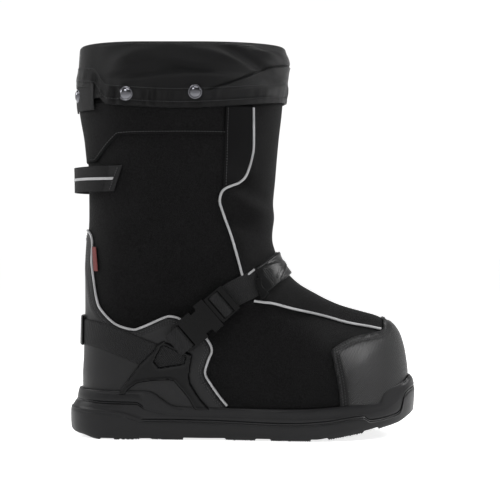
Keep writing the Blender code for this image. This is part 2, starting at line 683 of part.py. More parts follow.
def ankle_strap():
    """Webbing over the instep: from the buckle, under the pad, to the inner anchor."""
    route = side_places(STRAP_ROUTE, 2)
    look = ("webbing", (0.020, 0.020, 0.022), 0.8)
    made = skin_shell("ankle_strap", look, height(0.40), height(1.24), strap_lift,
                      WEBBING_THICKNESS)
    crop(made, "ankle_strap_outline", band(route, 0.5 * WEBBING_WIDTH))
    end = buckle_frame() @ Vector((0.5 * BUCKLE_LENGTH + GAP, 0.0, 0.0))
    along = Vector((math.cos(BUCKLE_TILT), math.sin(BUCKLE_TILT)))
    across = Vector((-along.y, along.x)) * 2 * WEBBING_WIDTH
    corner = Vector((end.x, end.z))
    back = along * -SOLE_LENGTH
    outline = [tuple(corner + across), tuple(corner - across), tuple(corner - across + back),
               tuple(corner + across + back)]
    boolean(made, 'DIFFERENCE', prism("buckle_side", outline, -FULL_WIDTH, 0.0))
    top, low = (Vector(place) for place in side_places(ANCHOR_EDGE[5:7]))
    along_edge = (top - low).normalized()
    ahead = Vector((along_edge.y, -along_edge.x))
    top, low = (place + ahead * GAP for place in (top + along_edge * WEBBING_WIDTH,
                                                  low - along_edge * WEBBING_WIDTH))
    back = ahead * -SOLE_LENGTH
    outline = [tuple(top), tuple(low), tuple(low + back), tuple(top + back)]
    boolean(made, 'DIFFERENCE', prism("inner_anchor_side", outline, 0.0, FULL_WIDTH))


def instep_pad():
    """Moulded pad on the front of the ankle, over the strap."""
    look = ("rubber", (0.035, 0.035, 0.038), 0.6)
    made = skin_shell("instep_pad", look, height(0.82), height(1.20), PAD_LAYER, PAD_THICKNESS)
    crop(made, "pad_outline", side_places(PAD_EDGE))


def buckle_frame():
    """Place of the buckle: its length along x, width along y, outside along z."""
    x, z = STRAP_ROUTE[2][0] * SOLE_LENGTH, height(STRAP_ROUTE[2][1])
    turn = turn_at(x, z)
    outward = skin_normal(turn, z)
    along = Vector((math.cos(BUCKLE_TILT), 0.0, math.sin(BUCKLE_TILT)))
    along = (along - outward * along.dot(outward)).normalized()
    across = outward.cross(along)
    frame = Matrix((along, across, outward)).transposed().to_4x4()
    frame.translation = over_skin(turn, z, BUCKLE_LIFT)
    return frame


def plate(outline, low, high):
    """Flat plate in the buckle's own frame, from an outline and two heights."""
    data = bmesh.new()
    face = data.faces.new([data.verts.new((x, y, low)) for x, y in outline])
    grown = bmesh.ops.extrude_face_region(data, geom=[face])
    moved = [item for item in grown["geom"] if isinstance(item, bmesh.types.BMVert)]
    bmesh.ops.translate(data, verts=moved, vec=(0.0, 0.0, high - low))
    bmesh.ops.recalc_face_normals(data, faces=data.faces)
    return data


def mirrored(half_outline):
    """Closes an outline across the buckle's middle line."""
    return half_outline + [(x, -y) for x, y in half_outline[::-1]]


def box_outline(left, right, half):
    """Rectangle about the buckle's middle line."""
    return [(left, -half), (right, -half), (right, half), (left, half)]


def buckle():
    """Side-release buckle: receiving half, ladder half and the webbing that holds them."""
    frame = buckle_frame()
    half, end = 0.5 * BUCKLE_WIDTH, 0.5 * BUCKLE_LENGTH
    mouth = -end + FEMALE_SHARE * BUCKLE_LENGTH
    deep = BUCKLE_THICKNESS
    look = ("plastic", (0.012, 0.012, 0.013), 0.35)
    window = (mouth - 0.43 * FEMALE_SHARE * BUCKLE_LENGTH, mouth - 0.26 * FEMALE_SHARE * BUCKLE_LENGTH)
    outline = mirrored([(-end, 0.78 * half), (-end + 0.04 * BUCKLE_LENGTH, 0.92 * half),
                        (window[0], 0.92 * half), (window[0], 0.70 * half),
                        (window[1], 0.70 * half), (window[1], half), (mouth, half)])
    female = add_mesh("buckle_receiver", plate(outline, 0.0, deep), look)
    female.matrix_world = frame
    prong_room = add_mesh("prong_room", plate(box_outline(window[0] + 0.002, mouth + 0.01, 0.80 * half),
                                              0.24 * deep, 0.76 * deep))
    slot = (-end + 0.082 * BUCKLE_LENGTH, -end + 0.14 * BUCKLE_LENGTH)
    webbing_half = 0.5 * WEBBING_WIDTH + GAP
    bar_slot = add_mesh("bar_slot", plate(box_outline(*slot, webbing_half), -deep, 2 * deep))
    for cutter in (prong_room, bar_slot):
        cutter.matrix_world = frame
        boolean(female, 'DIFFERENCE', cutter)
    bevel(female, 0.0006)

    body = mouth + 0.0006
    reach = window[0] + 0.004
    male_outline = [(body, -0.88 * half), (end, -0.86 * half), (end, 0.86 * half),
                    (body, 0.88 * half), (body, 0.70 * half), (window[1] + 0.001, 0.74 * half),
                    (window[1] - 0.001, 0.77 * half), (reach, 0.55 * half),
                    (reach + 0.003, 0.42 * half), (body - 0.003, 0.42 * half),
                    (body - 0.003, -0.42 * half), (reach + 0.003, -0.42 * half),
                    (reach, -0.55 * half), (window[1] - 0.001, -0.77 * half),
                    (window[1] + 0.001, -0.74 * half), (body, -0.70 * half)]
    male = add_mesh("buckle_ladder", plate(male_outline, 0.30 * deep, 0.70 * deep), look)
    male.matrix_world = frame
    rungs = [body + 0.16 * (end - body), body + 0.32 * (end - body),
             body + 0.56 * (end - body), body + 0.74 * (end - body)]
    for k in range(2):
        rung = add_mesh(f"rung_slot_{k}", plate(box_outline(rungs[2 * k], rungs[2 * k + 1],
                                                            webbing_half), -deep, 2 * deep))
        rung.matrix_world = frame
        boolean(male, 'DIFFERENCE', rung)
    buckle_webbing(frame, slot, rungs, end)


def bevel(made, width):
    """Rounds the hard edges of a moulded piece."""
    step = made.modifiers.new("Bevel", 'BEVEL')
    step.width = width
    step.segments = 1
    step.limit_method = 'ANGLE'
    step.angle_limit = math.radians(50.0)


def ribbon(name, route, frame, look):
    """Webbing along a route given in the buckle's frame as (along, outward)."""
    half, thick = 0.5 * WEBBING_WIDTH - 0.0004, WEBBING_THICKNESS
    outer = []
    inner = []
    for k, (a, c) in enumerate(route):
        before, after = route[max(k - 1, 0)], route[min(k + 1, len(route) - 1)]
        direction = Vector((after[0] - before[0], after[1] - before[1])).normalized()
        normal = Vector((-direction.y, direction.x)) * 0.5 * thick
        outer.append((a + normal.x, c + normal.y))
        inner.append((a - normal.x, c - normal.y))
    section = outer + inner[::-1]
    rings = [[(a, side * half, c) for a, c in section] for side in (-1.0, 1.0)]
    data = bmesh.new()
    rows = [[data.verts.new(point) for point in ring] for ring in rings]
    count = len(section)
    for k in range(count):
        n = (k + 1) % count
        data.faces.new((rows[0][k], rows[0][n], rows[1][n], rows[1][k]))
    for row in rows:
        for k in range(len(route) - 1):
            data.faces.new((row[k], row[k + 1], row[-(k + 2)], row[-(k + 1)]))
    bmesh.ops.recalc_face_normals(data, faces=data.faces)
    made = add_mesh(name, data, look)
    made.matrix_world = frame
    return made


def surface_drop(frame, along):
    """Height of the upper's surface in the buckle's frame, at a place along the buckle."""
    place = frame @ Vector((along, 0.0, 0.0))
    on_skin = skin(turn_at(place.x, place.z), place.z)
    return (frame.inverted() @ on_skin).z


def buckle_webbing(frame, slot, rungs, end):
    """The two wraps of webbing: round the receiver's bar and round the ladder's rung."""
    look = ("webbing", (0.020, 0.020, 0.022), 0.8)
    thick = WEBBING_THICKNESS
    deep = BUCKLE_THICKNESS
    under = -0.5 * thick - GAP
    over = deep + 0.5 * thick + GAP
    middle = 0.5 * (slot[0] + slot[1])
    flap = -end - FLAP_LENGTH
    on_anchor = surface_drop(frame, flap) + SECOND_LAYER + ANCHOR_THICKNESS + GAP + thick
    route = [(flap, on_anchor), (-end - 0.0045, max(on_anchor + 0.001, 0.6 * over)),
             (-end - 0.0016, over), (middle - 0.0012, over), (middle, over - 0.0014),
             (middle, under + 0.0014), (middle - 0.0012, under), (-end + 0.001, under)]
    ribbon("anchor_webbing", route, frame, look)
    first, second = 0.5 * (rungs[0] + rungs[1]), 0.5 * (rungs[2] + rungs[3])
    bar_top = 0.70 * deep + 0.5 * thick + GAP
    bar_low = 0.30 * deep - 0.5 * thick - GAP
    route = [(end - 0.001, bar_low), (second + 0.0012, bar_low), (second, bar_low + 0.0010),
             (second, bar_top - 0.0010), (second - 0.0010, bar_top), (first + 0.0010, bar_top),
             (first, bar_top - 0.0010), (first, bar_low)]
    ribbon("ladder_webbing", route, frame, look)


def hem_height(turn):
    """Height of the cuff's hem: it dips on both sides of the shaft."""
    return CUFF_HEM + CUFF_HEM_RISE * math.cos(math.radians(turn)) ** 2


def cuff():
    """Coated nylon cuff, folded outwards over the top of the shaft, with its inner layer."""
    shell = GAP + YOKE_THICKNESS + GAP + 0.5 * CUFF_THICKNESS
    inside = -(UPPER_WALL + 2 * GAP + 0.5 * CUFF_THICKNESS)
    fold = RIM_HEIGHT - 0.5 * CUFF_THICKNESS
    rings = []
    for k in range(COLUMNS):
        turn = 360.0 * k / COLUMNS
        hem = hem_height(turn)
        path = [(shell, hem), (shell + 0.0006, hem + 0.018), (shell + 0.0012, fold - 0.022),
                (shell + 0.0002, fold - 0.006), (0.5 * (shell + inside), fold),
                (inside + 0.0004, fold - 0.006), (inside, fold - 0.030),
                (inside, SHAFT_HEIGHT - 0.014)]
        outer, inner = [], []
        for j, (offset, z) in enumerate(path):
            before, after = path[max(j - 1, 0)], path[min(j + 1, len(path) - 1)]
            direction = Vector((after[0] - before[0], after[1] - before[1])).normalized()
            side = Vector((direction.y, -direction.x)) * 0.5 * CUFF_THICKNESS
            outer.append(over_skin(turn, z + side.y, offset + side.x))
            inner.append(over_skin(turn, z - side.y, offset - side.x))
        rings.append(outer + inner[::-1])
    data = loft(rings, closed_rows=True)
    add_mesh("cuff", data, ("nylon", (0.022, 0.022, 0.024), 0.45))


def cuff_surface(turn, z, offset):
    """Point outside the cuff's outer layer."""
    shell = GAP + YOKE_THICKNESS + GAP + CUFF_THICKNESS
    rise = min(max((z - hem_height(turn)) / 0.018, 0.0), 1.0)
    return over_skin(turn, z, shell + 0.0006 * rise + offset)


def cuff_tab():
    """Tab around the back of the cuff's hem band, closed by the rear snap."""
    rings = []
    step = 360.0 / COLUMNS
    for k in range(-3, 4):
        low = hem_height(k * step) + 0.0020
        inside = [(low, GAP), (low + 0.0160, GAP), (low + 0.0200, GAP)]
        outside = [(z, offset + TAB_THICKNESS) for z, offset in inside[::-1]]
        rings.append([cuff_surface(k * step, z, offset) for z, offset in inside + outside])
    data = loft(rings)
    add_mesh("cuff_tab", data, ("nylon", (0.022, 0.022, 0.024), 0.5))


def snaps():
    """Domed snap fasteners on the cuff's band: one behind and two on each side."""
    places = [("back", 0.0, 0.0125, GAP + TAB_THICKNESS + GAP)]
    for side, outer in (("outer", True), ("inner", False)):
        for name, along in (("rear", -0.328), ("front", -0.133)):
            turn = turn_at(along * SOLE_LENGTH, CUFF_HEM + 0.0125, outer)
            places.append((f"{name}_{side}", turn, 0.0125, GAP))
    for name, turn, rise, offset in places:
        z = hem_height(turn) + rise
        outward = skin_normal(turn, z)
        profile = [(0.0, SNAP_HEIGHT), (0.45 * SNAP_RADIUS, 0.92 * SNAP_HEIGHT),
                   (0.80 * SNAP_RADIUS, 0.68 * SNAP_HEIGHT), (0.86 * SNAP_RADIUS, 0.34 * SNAP_HEIGHT),
                   (SNAP_RADIUS, 0.26 * SNAP_HEIGHT), (SNAP_RADIUS, 0.0)]
        sides = 14
        data = bmesh.new()
        rows = []
        for radius, lift in profile[1:]:
            circle = bmesh.ops.create_circle(data, segments=sides, radius=radius,
                                             matrix=Matrix.Translation((0.0, 0.0, lift)))
            rows.append(circle["verts"])
        for low, high in zip(rows, rows[1:]):
            for k in range(sides):
                n = (k + 1) % sides
                data.faces.new((low[k], low[n], high[n], high[k]))
        data.faces.new(rows[0])
        data.faces.new(rows[-1])
        bmesh.ops.recalc_face_normals(data, faces=data.faces)
        made = add_mesh(f"snap_{name}", data, ("gunmetal", (0.10, 0.10, 0.11), 0.25, 1.0))
        up = Vector((0.0, 0.0, 1.0))
        across = up.cross(outward).normalized()
        turned = Matrix((across, outward.cross(across), outward)).transposed().to_4x4()
        turned.translation = cuff_surface(turn, z, offset + 0.0004)
        made.matrix_world = turned


def pull_loop():
    """Webbing loop on the back of the shaft, sewn down at its two slanted ends."""
    low, high = height(1.470), height(1.613)
    steps = 20
    rings = []
    for k in range(steps + 1):
        share = 2.0 * k / steps - 1.0
        ring = []
        for z, lift in ((low, 0.0), (high, 0.0), (high, 1.0), (low, 1.0)):
            end_x = -0.362 * SOLE_LENGTH + (z - low) * 0.35
            reach = turn_at(end_x, z)
            turn = share * reach
            bow = max(1.0 - (abs(turn) / (0.80 * reach)) ** 2.4, 0.0)
            offset = 3 * GAP + PULL_STANDOFF * bow + lift * WEBBING_THICKNESS
            ring.append(over_skin(turn, z, offset))
        rings.append(ring)
    add_mesh("pull_loop", loft(rings), ("webbing", (0.020, 0.020, 0.022), 0.8))


def piping(name, places):
    """Round reflective piping along a row of points."""
    data = bpy.data.curves.new(name, 'CURVE')
    data.dimensions = '3D'
    data.bevel_depth = PIPING_RADIUS
    data.bevel_resolution = 1
    data.use_fill_caps = True
    spline = data.splines.new('POLY')
    spline.points.add(len(places) - 1)
    for point, place in zip(spline.points, places):
        point.co = (*place, 1.0)
    made = bpy.data.objects.new(name, data)
    collection.objects.link(made)
    data.materials.append(material(f"{name} piping", (0.35, 0.35, 0.36), 0.5))


def seams():
    """Piping around the counter, down the front of the shaft and along the vamp."""
    lift = PIPING_LIFT
    route = counter_route()
    outer = [over_side(x, z, lift) for x, z in route[::-1]]
    inner = [over_side(x, z, lift, False) for x, z in route]
    start_turn = turn_at(*route[0])
    behind = [over_skin(start_turn * share, route[0][1], lift) for share in (0.5, 0.0, -0.5)]
    piping("counter_piping", outer + behind + inner)
    for side, on_outer in (("outer", True), ("inner", False)):
        shaft = [over_side(x, z, lift, on_outer) for x, z in side_places(SHAFT_SEAM, 2)]
        piping(f"shaft_piping_{side}", shaft)
        vamp = [over_side(x, z, lift, on_outer) for x, z in side_places(VAMP_SEAM, 2)]
        piping(f"vamp_piping_{side}", vamp)


def side_tag():
    """Small plain woven tab beside the counter's piping."""
    left, right = -0.4265 * SOLE_LENGTH, -0.414 * SOLE_LENGTH
    low, high = height(1.008), height(1.149)
    made = skin_shell("side_tag", ("woven tab", (0.22, 0.02, 0.02), 0.8), height(0.97),
                      height(1.20), GAP, LABEL_THICKNESS)
    crop(made, "side_tag_outline", [(left, low), (right, low), (right, high), (left, high)],
         -FULL_WIDTH, 0.0)


start()
space = sole_space()
outsole()
upper()
insole()
toe_cap(space)
counter(space)
yoke()
label_patch()
anchor("outer", space)
anchor("inner", space)
heel_strap()
ankle_strap()
instep_pad()
buckle()
cuff()
cuff_tab()
snaps()
pull_loop()
seams()
side_tag()
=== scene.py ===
"""Winter overshoe for the right foot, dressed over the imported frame.

Metres, toe towards +X, buckled outer side towards -Y, floor at Z = 0.
"""

import math

import bmesh
import bpy
import numpy as np
from mathutils import Matrix, Vector


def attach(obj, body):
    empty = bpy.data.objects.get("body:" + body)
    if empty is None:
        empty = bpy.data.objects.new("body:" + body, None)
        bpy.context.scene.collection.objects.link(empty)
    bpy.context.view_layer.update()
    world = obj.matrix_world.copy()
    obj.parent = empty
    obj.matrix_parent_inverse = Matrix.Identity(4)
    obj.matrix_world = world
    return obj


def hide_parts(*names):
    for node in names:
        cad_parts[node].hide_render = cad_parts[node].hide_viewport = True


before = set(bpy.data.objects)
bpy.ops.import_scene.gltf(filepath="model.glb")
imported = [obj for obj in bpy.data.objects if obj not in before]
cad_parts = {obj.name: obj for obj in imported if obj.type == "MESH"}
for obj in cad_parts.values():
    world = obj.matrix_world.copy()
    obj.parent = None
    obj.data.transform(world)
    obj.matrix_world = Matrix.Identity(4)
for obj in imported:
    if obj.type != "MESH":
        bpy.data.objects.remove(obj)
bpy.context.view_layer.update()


def linked(name, data):
    made = bpy.data.objects.new(name, data)
    bpy.context.scene.collection.objects.link(made)
    return made


# Camera: level, at the picture's middle height, 1.5 m off the outer side.
camera = linked("camera", bpy.data.cameras.new("camera"))
camera.location = (0.0065, -1.5, 0.184)
camera.rotation_euler = (math.radians(90.0), 0.0, 0.0)
camera.data.sensor_width = 36.0
camera.data.lens = 108.0
bpy.context.scene.camera = camera


# Outsole: one black rubber cup moulded in a steel mould, with a stepped and grooved side, cut
# into lugs below. The upper is cemented into it, so its top edge is a clean lip.
SOLE_LENGTH, SOLE_WIDTH, CUP_HEIGHT = 0.345, 0.13, 0.048
FOOT_PLAN = [
    (-0.5, 0.01, 0.365), (-0.36, 0.008, 0.372), (-0.2, -0.022, 0.352), (-0.08, -0.05, 0.354),
    (0.04, -0.046, 0.404), (0.14, -0.014, 0.474), (0.21, -0.001, 0.498), (0.3, 0.02, 0.482),
    (0.4, 0.07, 0.455), (0.5, 0.105, 0.41)]
BOTTOM_LINE = [
    (-500, 156), (-477, 102), (-454, 77), (-420, 12), (-405, 0), (200, 0), (235, 31), (335, 142),
    (383, 210), (441, 300), (475, 410), (500, 500)]
STEP_LINE = [
    (-500, 625), (-400, 580), (-340, 530), (-305, 450), (-290, 415), (-180, 415), (130, 363), (226, 404),
    (334, 495), (357, 411), (423, 471), (447, 550), (454.5, 700), (460, 860), (488, 994), (500, 1020)]
GROOVE_LINE = [
    (-500, 806), (-400, 770), (-301.5, 759), (-279, 667), (-240, 590), (-200, 540), (200, 505), (400, 660),
    (430, 780), (455, 940), (480, 1090), (500, 1130)]
TOP_LINE = [
    (-500, 1000), (-430, 990), (-272, 985), (-250, 940), (-229, 830), (-203, 710), (-180, 672), (-116, 656),
    (116, 640), (174, 648), (270, 700), (374, 768), (384, 778), (398, 950), (436, 1057), (464, 1140),
    (482, 1230), (500, 1270)]
FEATHER_LINE = [
    (-500, 354), (260, 354), (350, 415), (420, 500), (475, 610), (500, 640)]
# Steps and grooves of the side from the floor up. Columns: line, share of the way to the next
# line, and in tenths of a millimetre lift and how far in it is at the heel, sides and toe.
SOLE_PROFILE = [
    (0, 0, 0, 30, 26, 42), (0, 0, 3, 20, 16, 30), (0, 0, 10, 12, 8, 18), (0, 0, 24, 6, 4, 12),
    (0, 0.3, 10, 3, 2, 8), (0, 0.6, 4, 1, 0, 3), (0, 0.85, -12, 2, 0, 1), (1, 0, -30, 4, 1, 2),
    (1, 0, -26, 5, 4, 3), (1, 0, -21, 6, 10, 8), (1, 0, -16, 7, 6, 6), (1, 0, -10, 8, 5, 6),
    (1, 0, -5, 9, 8, 9), (1, 0, 0, 12, 20, 20), (1, 0, 5, 20, 12, 12), (1, 0, 11, 26, 9, 9),
    (1, 0.25, 4, 34, 9, 9), (1, 0.5, 0, 45, 9, 10), (1, 0.75, -8, 55, 10, 12), (2, 0, -29, 61, 10, 13),
    (2, 0, -24, 63, 11, 14), (2, 0, -19, 64, 12, 14), (2, 0, -13, 65, 12, 15), (2, 0, -6, 67, 12, 16),
    (2, 0, 0, 69, 13, 18), (2, 0, 6, 70, 13, 18), (2, 0, 12, 70, 13, 20), (2, 0.35, 6, 74, 14, 28),
    (2, 0.7, 0, 80, 15, 38), (3, 0, -18, 84, 16, 44), (3, 0, -8, 86, 18, 46), (3, 0, -2, 90, 21, 50),
    (3, 0, 0, 96, 26, 58)]
# Gaps between the lugs. Columns: from, to (shares of the sole's length), depth.
LUG_GAPS = [
    (-0.403, -0.365, 0.006), (-0.29, -0.261, 0.006), (-0.168, -0.049, 0.0036), (0.035, 0.075, 0.003),
    (0.188, 0.235, 0.003), (0.336, 0.38, 0.0034)]
STATIONS = 430
SIDES = ((-1, "outer"), (1, "inner"))
TENTH, DEGREE = 0.0001, math.pi / 180.0


def along_curve(table, at, column=1):
    """A column of a table at places in its first one, on a curve without overshoot."""
    table = np.array(table)
    xs, ys = table[:, 0], table[:, column]
    slope = np.diff(ys) / np.diff(xs)
    product = slope[:-1] * slope[1:]
    total = np.where(np.abs(slope[:-1] + slope[1:]) < 1e-12, 1.0, slope[:-1] + slope[1:])
    tangent = np.concatenate(([slope[0]], np.where(product > 0, 2 * product / total, 0.0), [slope[-1]]))
    at = np.clip(at, xs[0], xs[-1])
    k = np.clip(np.searchsorted(xs, at) - 1, 0, len(xs) - 2)
    span = xs[k + 1] - xs[k]
    t = (at - xs[k]) / span
    return (ys[k] * (1 + 2 * t) * (1 - t) ** 2 + span * tangent[k] * t * (1 - t) ** 2
            + ys[k + 1] * t * t * (3 - 2 * t) + span * tangent[k + 1] * t * t * (t - 1))


def sole_line(line, x):
    """Height of one of the sole's lines, which are in thousandths of its length and height."""
    return along_curve(line, 1000.0 * x / SOLE_LENGTH) * CUP_HEIGHT * 0.001


def rounding(distance, length, power=2.15):
    """How far an outline has opened at a distance from its rounded end."""
    return (1.0 - (1.0 - np.clip(distance / length, 0.0, 1.0)) ** power) ** (1.0 / power)


def ease(value, low, high):
    """Soft step from 0 at low to 1 at high."""
    t = np.clip((value - low) / (high - low), 0.0, 1.0)
    return t * t * (3.0 - 2.0 * t)


def bell(value, middle, width):
    return np.exp(-((value - middle) / width) ** 2)


def sheet_of(data, columns, rows, place, uv=None):
    """Adds a grid of quads; place turns shares across and up, 0 to 1, into points."""
    made = bmesh.ops.create_grid(data, x_segments=columns, y_segments=rows, size=0.5)["verts"]
    shares = np.array([(v.co.x + 0.5, v.co.y + 0.5) for v in made])
    where = place(shares[:, 0], shares[:, 1])
    for v, co in zip(made, where.tolist()):
        v.co = co
    if uv is not None:
        layer = data.loops.layers.uv.verify()
        spots = dict(zip(made, np.column_stack(uv(shares[:, 0], shares[:, 1])).tolist()))
        for face in {f for v in made for f in v.link_faces}:
            for loop in face.loops:
                loop[layer].uv = spots[loop.vert]
    return made


def piece(name, data, finish, angle=40.0, weld=1e-6, node=None):
    """Finishes a mesh as a piece of the shoe. It stands for the CAD node of its name, if any."""
    if weld:
        bmesh.ops.remove_doubles(data, verts=data.verts, dist=weld)
    mesh = bpy.data.meshes.new(name)
    data.to_mesh(mesh)
    data.free()
    made = linked(name, mesh)
    mesh.materials.append(finish.material)
    mesh.shade_smooth()
    mesh.set_sharp_from_angle(angle=math.radians(angle))
    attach(made, "root")
    if (node or name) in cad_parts:
        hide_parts(node or name)
    return made


def thicken(made, thickness):
    """Gives a sheet its thickness, inwards."""
    wall = made.modifiers.new("Wall", 'SOLIDIFY')
    wall.thickness, wall.offset = thickness, -1.0
    return wall


class Field:
    """A shader socket that is added, scaled and raised like a number."""

    def __init__(self, finish, socket):
        self.finish, self.socket = finish, socket

    def maths(self, operation, *values):
        return self.finish.node("ShaderNodeMath", {"operation": operation}, dict(enumerate(values)))

    def __add__(self, other):
        return self.maths("ADD", self, other)

    def __mul__(self, other):
        return self.maths("MULTIPLY", self, other)

    def __sub__(self, other):
        return self.maths("SUBTRACT", self, other)

    def sine(self):
        return self.maths("SINE", self)

    __radd__, __rmul__ = __add__, __mul__


class Finish:
    """One material: a Principled shader and the patterns that feed it."""

    def __init__(self, name, colour, roughness, gloss=0.5, slot=None, **fixed):
        self.slot = slot or name
        self.material = bpy.data.materials.new(name)
        self.material.use_nodes = True
        self.tree = self.material.node_tree
        self.shader = self.tree.nodes["Principled BSDF"]
        for socket, value in {"Base Color": (*colour, 1.0), "Roughness": roughness,
                              "Specular IOR Level": gloss, **fixed}.items():
            self.shader.inputs[socket.replace("_", " ")].default_value = value
        self.colour, self.roughness = colour, roughness

    def node(self, kind, settings, values, output=0):
        made = self.tree.nodes.new(kind)
        for key, value in settings.items():
            setattr(made, key, value)
        for key, value in values.items():
            if isinstance(value, Field):
                self.tree.links.new(value.socket, made.inputs[key])
            else:
                made.inputs[key].default_value = value
        return Field(self, made.outputs[output])

    def place(self, kind="Object"):
        return self.node("ShaderNodeTexCoord", {}, {}, kind)

    def axes(self, place):
        return [self.node("ShaderNodeSeparateXYZ", {}, {0: place}, k) for k in range(3)]

    def noise(self, scale, detail=3.0, kind="Object"):
        return self.node("ShaderNodeTexNoise", {},
                         {"Vector": self.place(kind), "Scale": scale, "Detail": detail})

    def shade(self, share, low, high):
        """Base colour from low to high times the finish's own, with a share."""
        dark, light = ((*(c * k for c in self.colour), 1.0) for k in (low, high))
        mixed = self.node("ShaderNodeMix", {"data_type": "RGBA"}, {0: share, 6: dark, 7: light}, 2)
        self.tree.links.new(mixed.socket, self.shader.inputs["Base Color"])
        return mixed

    def rough(self, share, spread):
        value = (share - 0.5) * spread + self.roughness
        self.tree.links.new(value.socket, self.shader.inputs["Roughness"])

    def bump(self, height, distance):
        made = self.node("ShaderNodeBump", {}, {"Height": height, "Distance": distance})
        self.tree.links.new(made.socket, self.shader.inputs["Normal"])


def moulded(name, colour, roughness, grain=900.0, depth=0.00012, **fixed):
    """Moulded rubber or plastic: fine grain, cloudy gloss, a little dust."""
    made = Finish(name, colour, roughness, **fixed)
    clouds = made.noise(45.0)
    made.shade(clouds, 0.75, 1.3)
    made.rough(clouds, 0.18)
    made.bump(made.noise(grain, 2.0) + clouds * 0.5, depth)
    return made


SOLE_RUBBER = moulded("sole_rubber", (0.0076, 0.0076, 0.0081), 0.42, 1300.0, gloss=0.15)


def sole_row(x_share, side, line, share, lift, heel_in, side_in, toe_in):
    """Points of one row of the sole's side, -1 outer or 1 inner, from heel to toe."""
    lines = (BOTTOM_LINE, STEP_LINE, GROOVE_LINE, TOP_LINE)
    back, front = -0.5 * SOLE_LENGTH + heel_in * TENTH, 0.5 * SOLE_LENGTH - toe_in * TENTH
    x = back + (front - back) * 0.5 * (1.0 - np.cos(math.pi * x_share))
    z = sole_line(lines[line], x) + lift * TENTH
    if share:
        z = z + share * (sole_line(lines[line + 1], x) - sole_line(lines[line], x))
    along = x / SOLE_LENGTH
    inward = np.full_like(x, side_in)
    if line == 1 and -30 < lift < 11 and not share:
        inward = side_in + (6 - side_in) * (1.0 - ease(along, -0.29, -0.28))
    if line == 2 and lift in (-19, 0):
        inward = inward + 10 * (1.0 - ease(along, -0.284, -0.277))
    if line == 0 and not share and lift < 20:
        ribs = (np.sin(x * 2 * math.pi / 0.0023) > 0) & (along > -0.36) & (along < 0.34)
        inward = inward + 7 * ribs
        z = z + 0.0014 * ribs * (lift < 5)
        for start, end, depth in LUG_GAPS:
            gap = ease(along, start - 0.001, start + 0.001) * ease(along, end + 0.001, end - 0.001)
            z = z + gap * np.maximum(depth - lift * TENTH, 0.0)
            inward = inward + gap * 8
    half = along_curve(FOOT_PLAN, along, 2) * SOLE_WIDTH - inward * TENTH
    half = half * rounding(x - back, 0.15 * SOLE_LENGTH) * rounding(front - x, 0.25 * SOLE_LENGTH)
    centre = along_curve(FOOT_PLAN, along, 1) * SOLE_WIDTH
    return np.column_stack((x, centre + side * half, z))


def both_sides(u):
    """Share along and side of places all round: u 0 at the heel, half at the toe."""
    return np.where(u <= 0.5, 2 * u, 2 - 2 * u), np.where(u <= 0.5, -1.0, 1.0)


def sole_side(u, v):
    """The sole's side, all round."""
    rows = np.round(v * (len(SOLE_PROFILE) - 1)).astype(int)
    x_share, side = both_sides(u)
    out = np.zeros((len(u), 3))
    for k, row in enumerate(SOLE_PROFILE):
        chosen = rows == k
        out[chosen] = sole_row(x_share[chosen], side[chosen], *row)
    return out


def sole_floor(u, v):
    """The underside, with its channel and ribs. The lug gaps are shallow at the heel."""
    one, two = (sole_row(u, side, *SOLE_PROFILE[0]) for side in (-1.0, 1.0))
    inner = np.minimum(v, 1 - v) > 1e-6
    out = one + (two - one) * v[:, None]
    y, along = out[:, 1], out[:, 0] / SOLE_LENGTH
    channel = ease(np.abs(y), 0.0066, 0.0056) * ease(along, -0.365, -0.36)
    ribs = 0.0007 * ((np.sin(y * 2 * math.pi / 0.008) > 0.6) & inner & (np.abs(y) > 0.008))
    shut = ease(v, 0.05, 0.09) * ease(v, 0.95, 0.91) * ease(along, -0.24, -0.25)
    out[:, 2] += shut * (sole_line(BOTTOM_LINE, out[:, 0]) - out[:, 2])
    out[:, 2] += channel * 0.004 * ease(along, 0.34, 0.335) * inner + ribs
    return out


# Seat of the upper inside the cup: its places come from the upper's own surface, so the sole
# is closed further down, when that surface is known.
INSTEP_HEIGHT, SHAFT_HEIGHT, RIM_HEIGHT, TOE_BOX_LEVEL, SOLE_LIP = 0.162, 0.33, 0.3853, 0.075, 0.005
SIDE_OUTLINE = [
    (0.0, -457, 472), (0.37, -461, 474), (0.506, -458, 466), (0.605, -457, 453), (0.667, -456, 435),
    (0.728, -455, 390), (0.765, -454, 332), (0.802, -454, 274), (0.852, -454, 217), (0.92, -454, 161),
    (1.0, -454, 125), (1.095, -452, 97), (1.19, -449, 86), (1.333, -446, 85), (1.571, -447, 93),
    (1.762, -455, 101), (2.0, -471, 113), (2.3, -471, 117), (3.0, -465, 115)]
FULLNESS = [
    (0.0, 1.0, 0.37, 0.14, 0.215), (0.5, 1.0, 0.372, 0.145, 0.205), (0.75, 0.85, 0.378, 0.15, 0.185),
    (1.0, 0.45, 0.388, 0.165, 0.195), (1.25, 0.1, 0.4, 0.18, 0.225), (1.6, 0.0, 0.412, 0.19, 0.25),
    (2.0, 0.0, 0.425, 0.19, 0.255), (3.0, 0.0, 0.43, 0.19, 0.255)]
MARKS = np.array([0.0, INSTEP_HEIGHT, SHAFT_HEIGHT, RIM_HEIGHT])


def height(level):
    """Height above the floor of a level of the side outline."""
    return np.interp(level, [0, 1, 2, 3], MARKS)


def outline_edge(z, column):
    """Back (column 1) or front (column 2) of the upper's side outline at heights."""
    return along_curve(SIDE_OUTLINE, np.interp(z, MARKS, [0, 1, 2, 3]), column) * SOLE_LENGTH * 0.001


